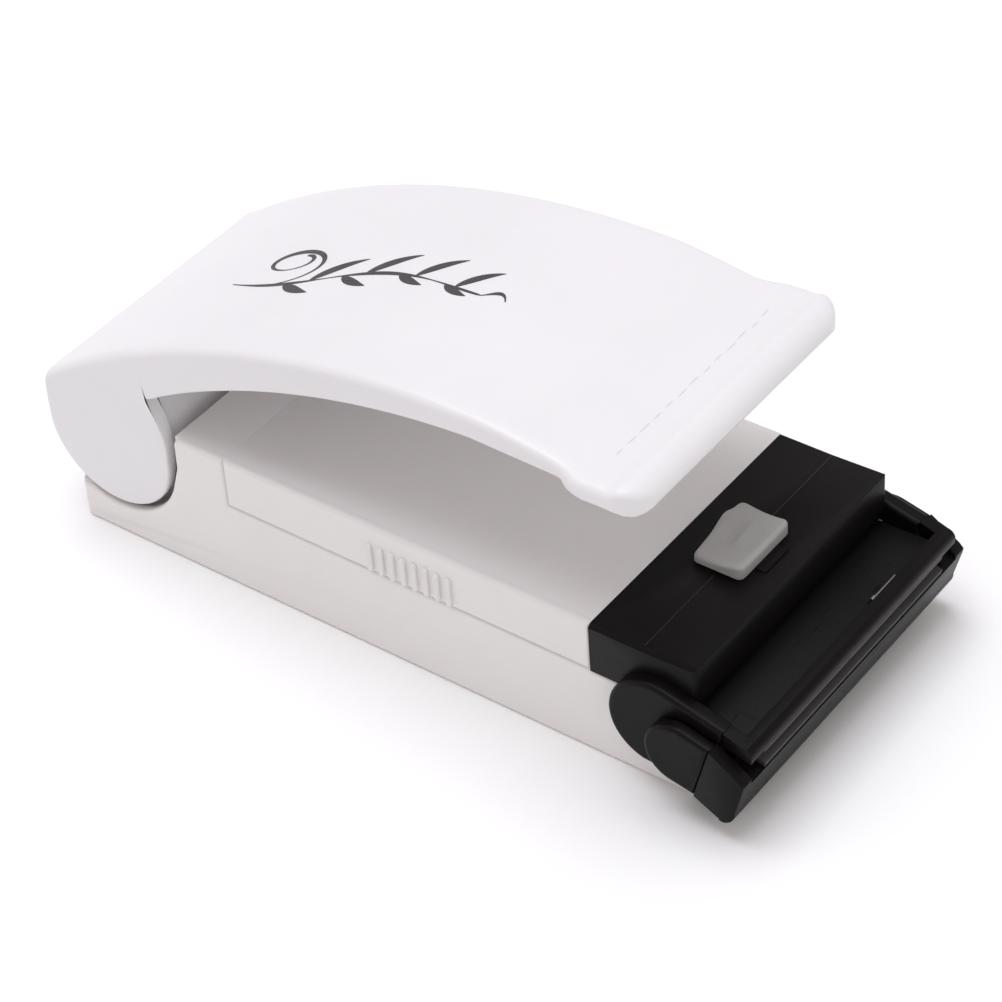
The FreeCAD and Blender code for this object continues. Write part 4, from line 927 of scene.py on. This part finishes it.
# Painted highlight: the crease is two thin strips a little lighter than the black head, for the light that the
# fold catches.
crease_highlights = []
for y0, y1 in ((-19.3, -5.6), (5.6, 19.3)):
    line = [(7.21, 19.45), (7.29, 19.45), (7.29, 19.52), (7.21, 19.52)]
    crease_highlights.append(slab(np.array(line), y0, y1, radius=0.02, steps=1, support=0.01))
fold_highlight = make_piece("head_fold_highlight", "painted_fold_highlight", crease_highlights)
for piece, slot_name in ((shelf, "dark_grey_plastic"), (fold_highlight, "black_plastic")):
    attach(piece, "housing")


# %% Ribbon clip
BAR_FOOT, BAR_TOP = np.array([20.1, 11.8]), np.array([21.0, 13.55])


def clip_outline(low, high, thick):
    """A thin strip on the bar's rear face between two shares of its height."""
    up = (BAR_TOP - BAR_FOOT) / np.linalg.norm(BAR_TOP - BAR_FOOT)
    out = np.array([-up[1], up[0]])
    start, stop = (BAR_FOOT + (BAR_TOP - BAR_FOOT) * share for share in (low, high))
    return np.array([start, stop, stop + out * thick, start + out * thick])


clip = make_piece("ribbon_end_clip", "clip_steel", [
    slab(clip_outline(0.55, 0.85, 0.16), 6.2, 11.4, 0.05, 2, 0.02),
    slab(clip_outline(0.45, 0.95, 0.28), 6.2, 6.9, 0.06, 2, 0.02)])
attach(clip, "housing")
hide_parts("ribbon_clip")


# %% [markdown]
# ## Casings with soft edges
# The casings, head and bars are full of pockets, slots and bosses, which a single
# surface can't describe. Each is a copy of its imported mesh: the loose triangles
# are merged, flat neighbours are joined, and a Bevel modifier rounds every edge
# that turns sharply, because no moulded edge is truly sharp.

# %% Softened copies
def softened(node_name, piece_name, width, tuck=None, cut=None, segments=3, angle=38):
    """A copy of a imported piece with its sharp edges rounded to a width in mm. Its
    outer sides can be tucked in behind rounded side plates, and cut gives a line
    across it (x, mm) where its finish may change."""
    body = frame["nodes"][node_name]["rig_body"]
    finish = frame["nodes"][node_name].material_slots[0].material
    work = bmesh.new()
    work.from_mesh(frame["nodes"][node_name].data)
    bmesh.ops.remove_doubles(work, verts=work.verts, dist=MERGE)
    bmesh.ops.dissolve_limit(work, angle_limit=math.radians(0.8), verts=work.verts, edges=work.edges)
    if cut is not None:
        everything = work.verts[:] + work.edges[:] + work.faces[:]
        bmesh.ops.bisect_plane(work, geom=everything, plane_co=(cut * MM, 0, 0), plane_no=(1, 0, 0))
    mesh = bpy.data.meshes.new(piece_name)
    work.to_mesh(mesh)
    work.free()
    if tuck is not None:
        place = np.empty(len(mesh.vertices) * 3, np.float32)
        mesh.vertices.foreach_get("co", place)
        place = place.reshape(-1, 3)
        place[:, 1] = np.clip(place[:, 1], -tuck * MM, tuck * MM)
        mesh.vertices.foreach_set("co", place.ravel())
    mesh.polygons.foreach_set("use_smooth", np.ones(len(mesh.polygons), bool))
    piece = bpy.data.objects.new(piece_name, mesh)
    bpy.context.scene.collection.objects.link(piece)
    mesh.materials.clear()
    mesh.materials.append(finish)
    bevel = piece.modifiers.new("soft_edges", "BEVEL")
    bevel.width, bevel.segments = width * MM, segments
    bevel.limit_method, bevel.angle_limit = "ANGLE", math.radians(angle)
    bevel.harden_normals = True
    bevel.use_clamp_overlap = True
    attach(piece, body)
    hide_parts(node_name)
    print(f"{piece_name}: {len(mesh.polygons)} faces before its bevel")
    return piece


print("faces in the packed lower casing:", len(frame["nodes"]["lower_casing"].data.polygons))

# %% The seven copies
TUCK = HALF_WIDTH - 0.65     # the copies' sides stop here, behind the side plates
CUT, BLACK_AHEAD = 12.9, 13.0
for node_name, piece_name, width, tuck, cut, slot_name in (
        ("lower_casing", "casing_low", 0.3, TUCK, CUT, "white_plastic"),
        ("upper_casing", "casing_top", 0.3, TUCK, None, "white_plastic"),
        ("head_cover", "head_shell", 0.3, None, None, "black_plastic"),
        ("front_plate", "head_front", 0.15, None, None, "dark_grey_plastic"),
        ("upper_jaw_bar", "fixed_bar", 0.25, None, None, "black_plastic"),
        ("lower_jaw_bar", "moving_bar", 0.25, None, None, "black_plastic"),
        ("battery_door", "cell_door", 0.2, None, None, "white_plastic")):
    soft = softened(node_name, piece_name, width, tuck, cut)
    if node_name == "lower_casing":
        painted = paint_where(soft, FINISHES["black_plastic"], lambda p: p[:, 0] > BLACK_AHEAD)
        print("black faces at its front:", painted)


# %% [markdown]
# ## Side plates and grip ribs
# The white sides are what the eye rests on, so their edges are made properly: a
# side outline for each half of the casing, with its own corner radii, carried
# through the wall's thickness with a soft round. They stand a hair proud of the
# tucked copies. The grip ribs are short rounded bars in a row on each side.

# %% Side plates
SIDE_ROUND, PROUD, WALL = 0.6, 0.012, 1.6
CRADLE_RADIUS = 10.3     # the cradle's rim, round the lever's ears
CRADLE = arc(HINGE, CRADLE_RADIUS, 345, 246, 28)
REAR = -78.5
LOW_CORNERS = [(REAR, 0), (14.1, 0), (14.1, 12.5), (-53.3, 12.5), (-53.3, 19.5), (-61, 19.5),
               (-61.15, 14.8), *CRADLE.tolist(), (REAR, 5.4)]
LOW_RADII = [1.3, 0, 0, 0, 0, 1.1, 0] + [0] * len(CRADLE) + [1.0]
TOP_CORNERS = [(-53.3, 12.5), (0, 12.5), (0, 19.5), (-53.3, 19.5)]
TOP_RADII = [0, 0, 0, 0]
REAR_CORNER = 1.4


def side_plate(corners, radii, side, count=8):
    """One side of a casing: its rounded outline grown by a hair, carried through
    the wall; points near the rear plan corner are pulled in to its arc."""
    outline = rounded(corners, radii, count)
    outline += outward(outline) * PROUD
    y0, y1 = sorted((side * (HALF_WIDTH - WALL), side * HALF_WIDTH))
    points, faces = slab(outline, y0, y1, SIDE_ROUND, 5)
    centre = np.array([REAR + REAR_CORNER, HALF_WIDTH - REAR_CORNER])
    away = np.stack([centre[0] - points[:, 0], np.abs(points[:, 1]) - centre[1]], 1)
    reach = np.hypot(away[:, 0], away[:, 1])
    inside = (away > 0).all(1)
    pull = np.where(inside & (reach > REAR_CORNER), REAR_CORNER / np.maximum(reach, 1e-6), 1.0)
    points[:, 0] = np.where(inside, centre[0] - away[:, 0] * pull, points[:, 0])
    points[:, 1] = np.where(inside, np.sign(points[:, 1]) * (centre[1] + away[:, 1] * pull), points[:, 1])
    return points, faces


FIRST_RIB, RIB_PITCH, RIB_COUNT = -31.5, 1.64, 8


def grip_rib(number, side):
    """A short upright bar with round ends, proud of the casing's side."""
    x0 = FIRST_RIB + RIB_PITCH * number
    outline = rounded([(x0, 12.9), (x0 + 0.75, 12.9), (x0 + 0.75, 17.0), (x0, 17.0)], [0.36] * 4, 6)
    y0, y1 = sorted((side * (HALF_WIDTH - 0.3), side * (HALF_WIDTH + 0.5)))
    return slab(outline, y0, y1, 0.28, 4, 0.02)


# The side plates and ribs take the body's darker, warmer white: painted shade.
for name, skins in (
        ("casing_sides_low", [side_plate(LOW_CORNERS, LOW_RADII, side) for side in (-1, 1)]),
        ("casing_sides_top", [side_plate(TOP_CORNERS, TOP_RADII, side) for side in (-1, 1)]),
        ("grip_ribs", [grip_rib(number, side) for number in range(RIB_COUNT) for side in (-1, 1)])):
    plates = make_piece(name, "body_white", skins)
    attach(plates, "housing")


# %% [markdown]
# ## Floor and light
# A plain pale floor and broad soft lamps: one large panel above that gives the
# top its brightness, two much weaker ones from the front and the rear left, and
# a bright even world so that the shadows stay soft.

# %% Floor
floor_mesh = bpy.data.meshes.new("floor")
reach = 4.0
floor_mesh.from_pydata([(-reach, -reach, 0), (reach, -reach, 0), (reach, reach, 0), (-reach, reach, 0)],
                       [], [(0, 1, 2, 3)])
floor = bpy.data.objects.new("floor", floor_mesh)
bpy.context.scene.collection.objects.link(floor)
floor_paint, floor_tree, floor_shader = new_material("floor_paper")
paper = add(floor_tree, "ShaderNodeGroup", node_tree=GRAIN, in_0=400.0, in_1=3.0)
floor_tree.links.new(tinted(floor_tree, paper.outputs["Mottle"], 0.995, 1.005, (0.965, 0.965, 0.965)),
                     floor_shader.inputs["Base Color"])
floor_shader.inputs["Roughness"].default_value = 0.9
floor_shader.inputs["Specular IOR Level"].default_value = 0.1
floor_mesh.materials.append(floor_paint)
print("floor reaches", reach, "m each way")


# %% Lamps and world
AIM = Vector((-0.03, 0, 0.02))


def lamp(name, place, size, power, colour=(1, 1, 1)):
    """A square area lamp that faces the middle of the object."""
    data = bpy.data.lights.new(name, "AREA")
    data.size, data.energy, data.color = size, power, colour
    light = bpy.data.objects.new(name, data)
    bpy.context.scene.collection.objects.link(light)
    light.location = place
    light.rotation_euler = (AIM - Vector(place)).to_track_quat("-Z", "Y").to_euler()
    return light


lamp("panel_above", (-0.2, 0.05, 1.1), 0.9, 8.4, (0.91, 0.92, 1.0))
lamp("panel_front", (0.9, -0.3, 0.5), 0.6, 0.7)
lamp("panel_left", (-0.9, -0.55, 0.32), 0.6, 0.4, (1.0, 0.97, 0.95))
world = bpy.data.worlds.new("studio")
world.use_nodes = True
world.node_tree.nodes["Background"].inputs["Color"].default_value = (1, 0.96, 0.94, 1)
world.node_tree.nodes["Background"].inputs["Strength"].default_value = 0.60
bpy.context.scene.world = world
bpy.context.scene.view_settings.view_transform = "Standard"
print("lamps:", len(bpy.data.lights))
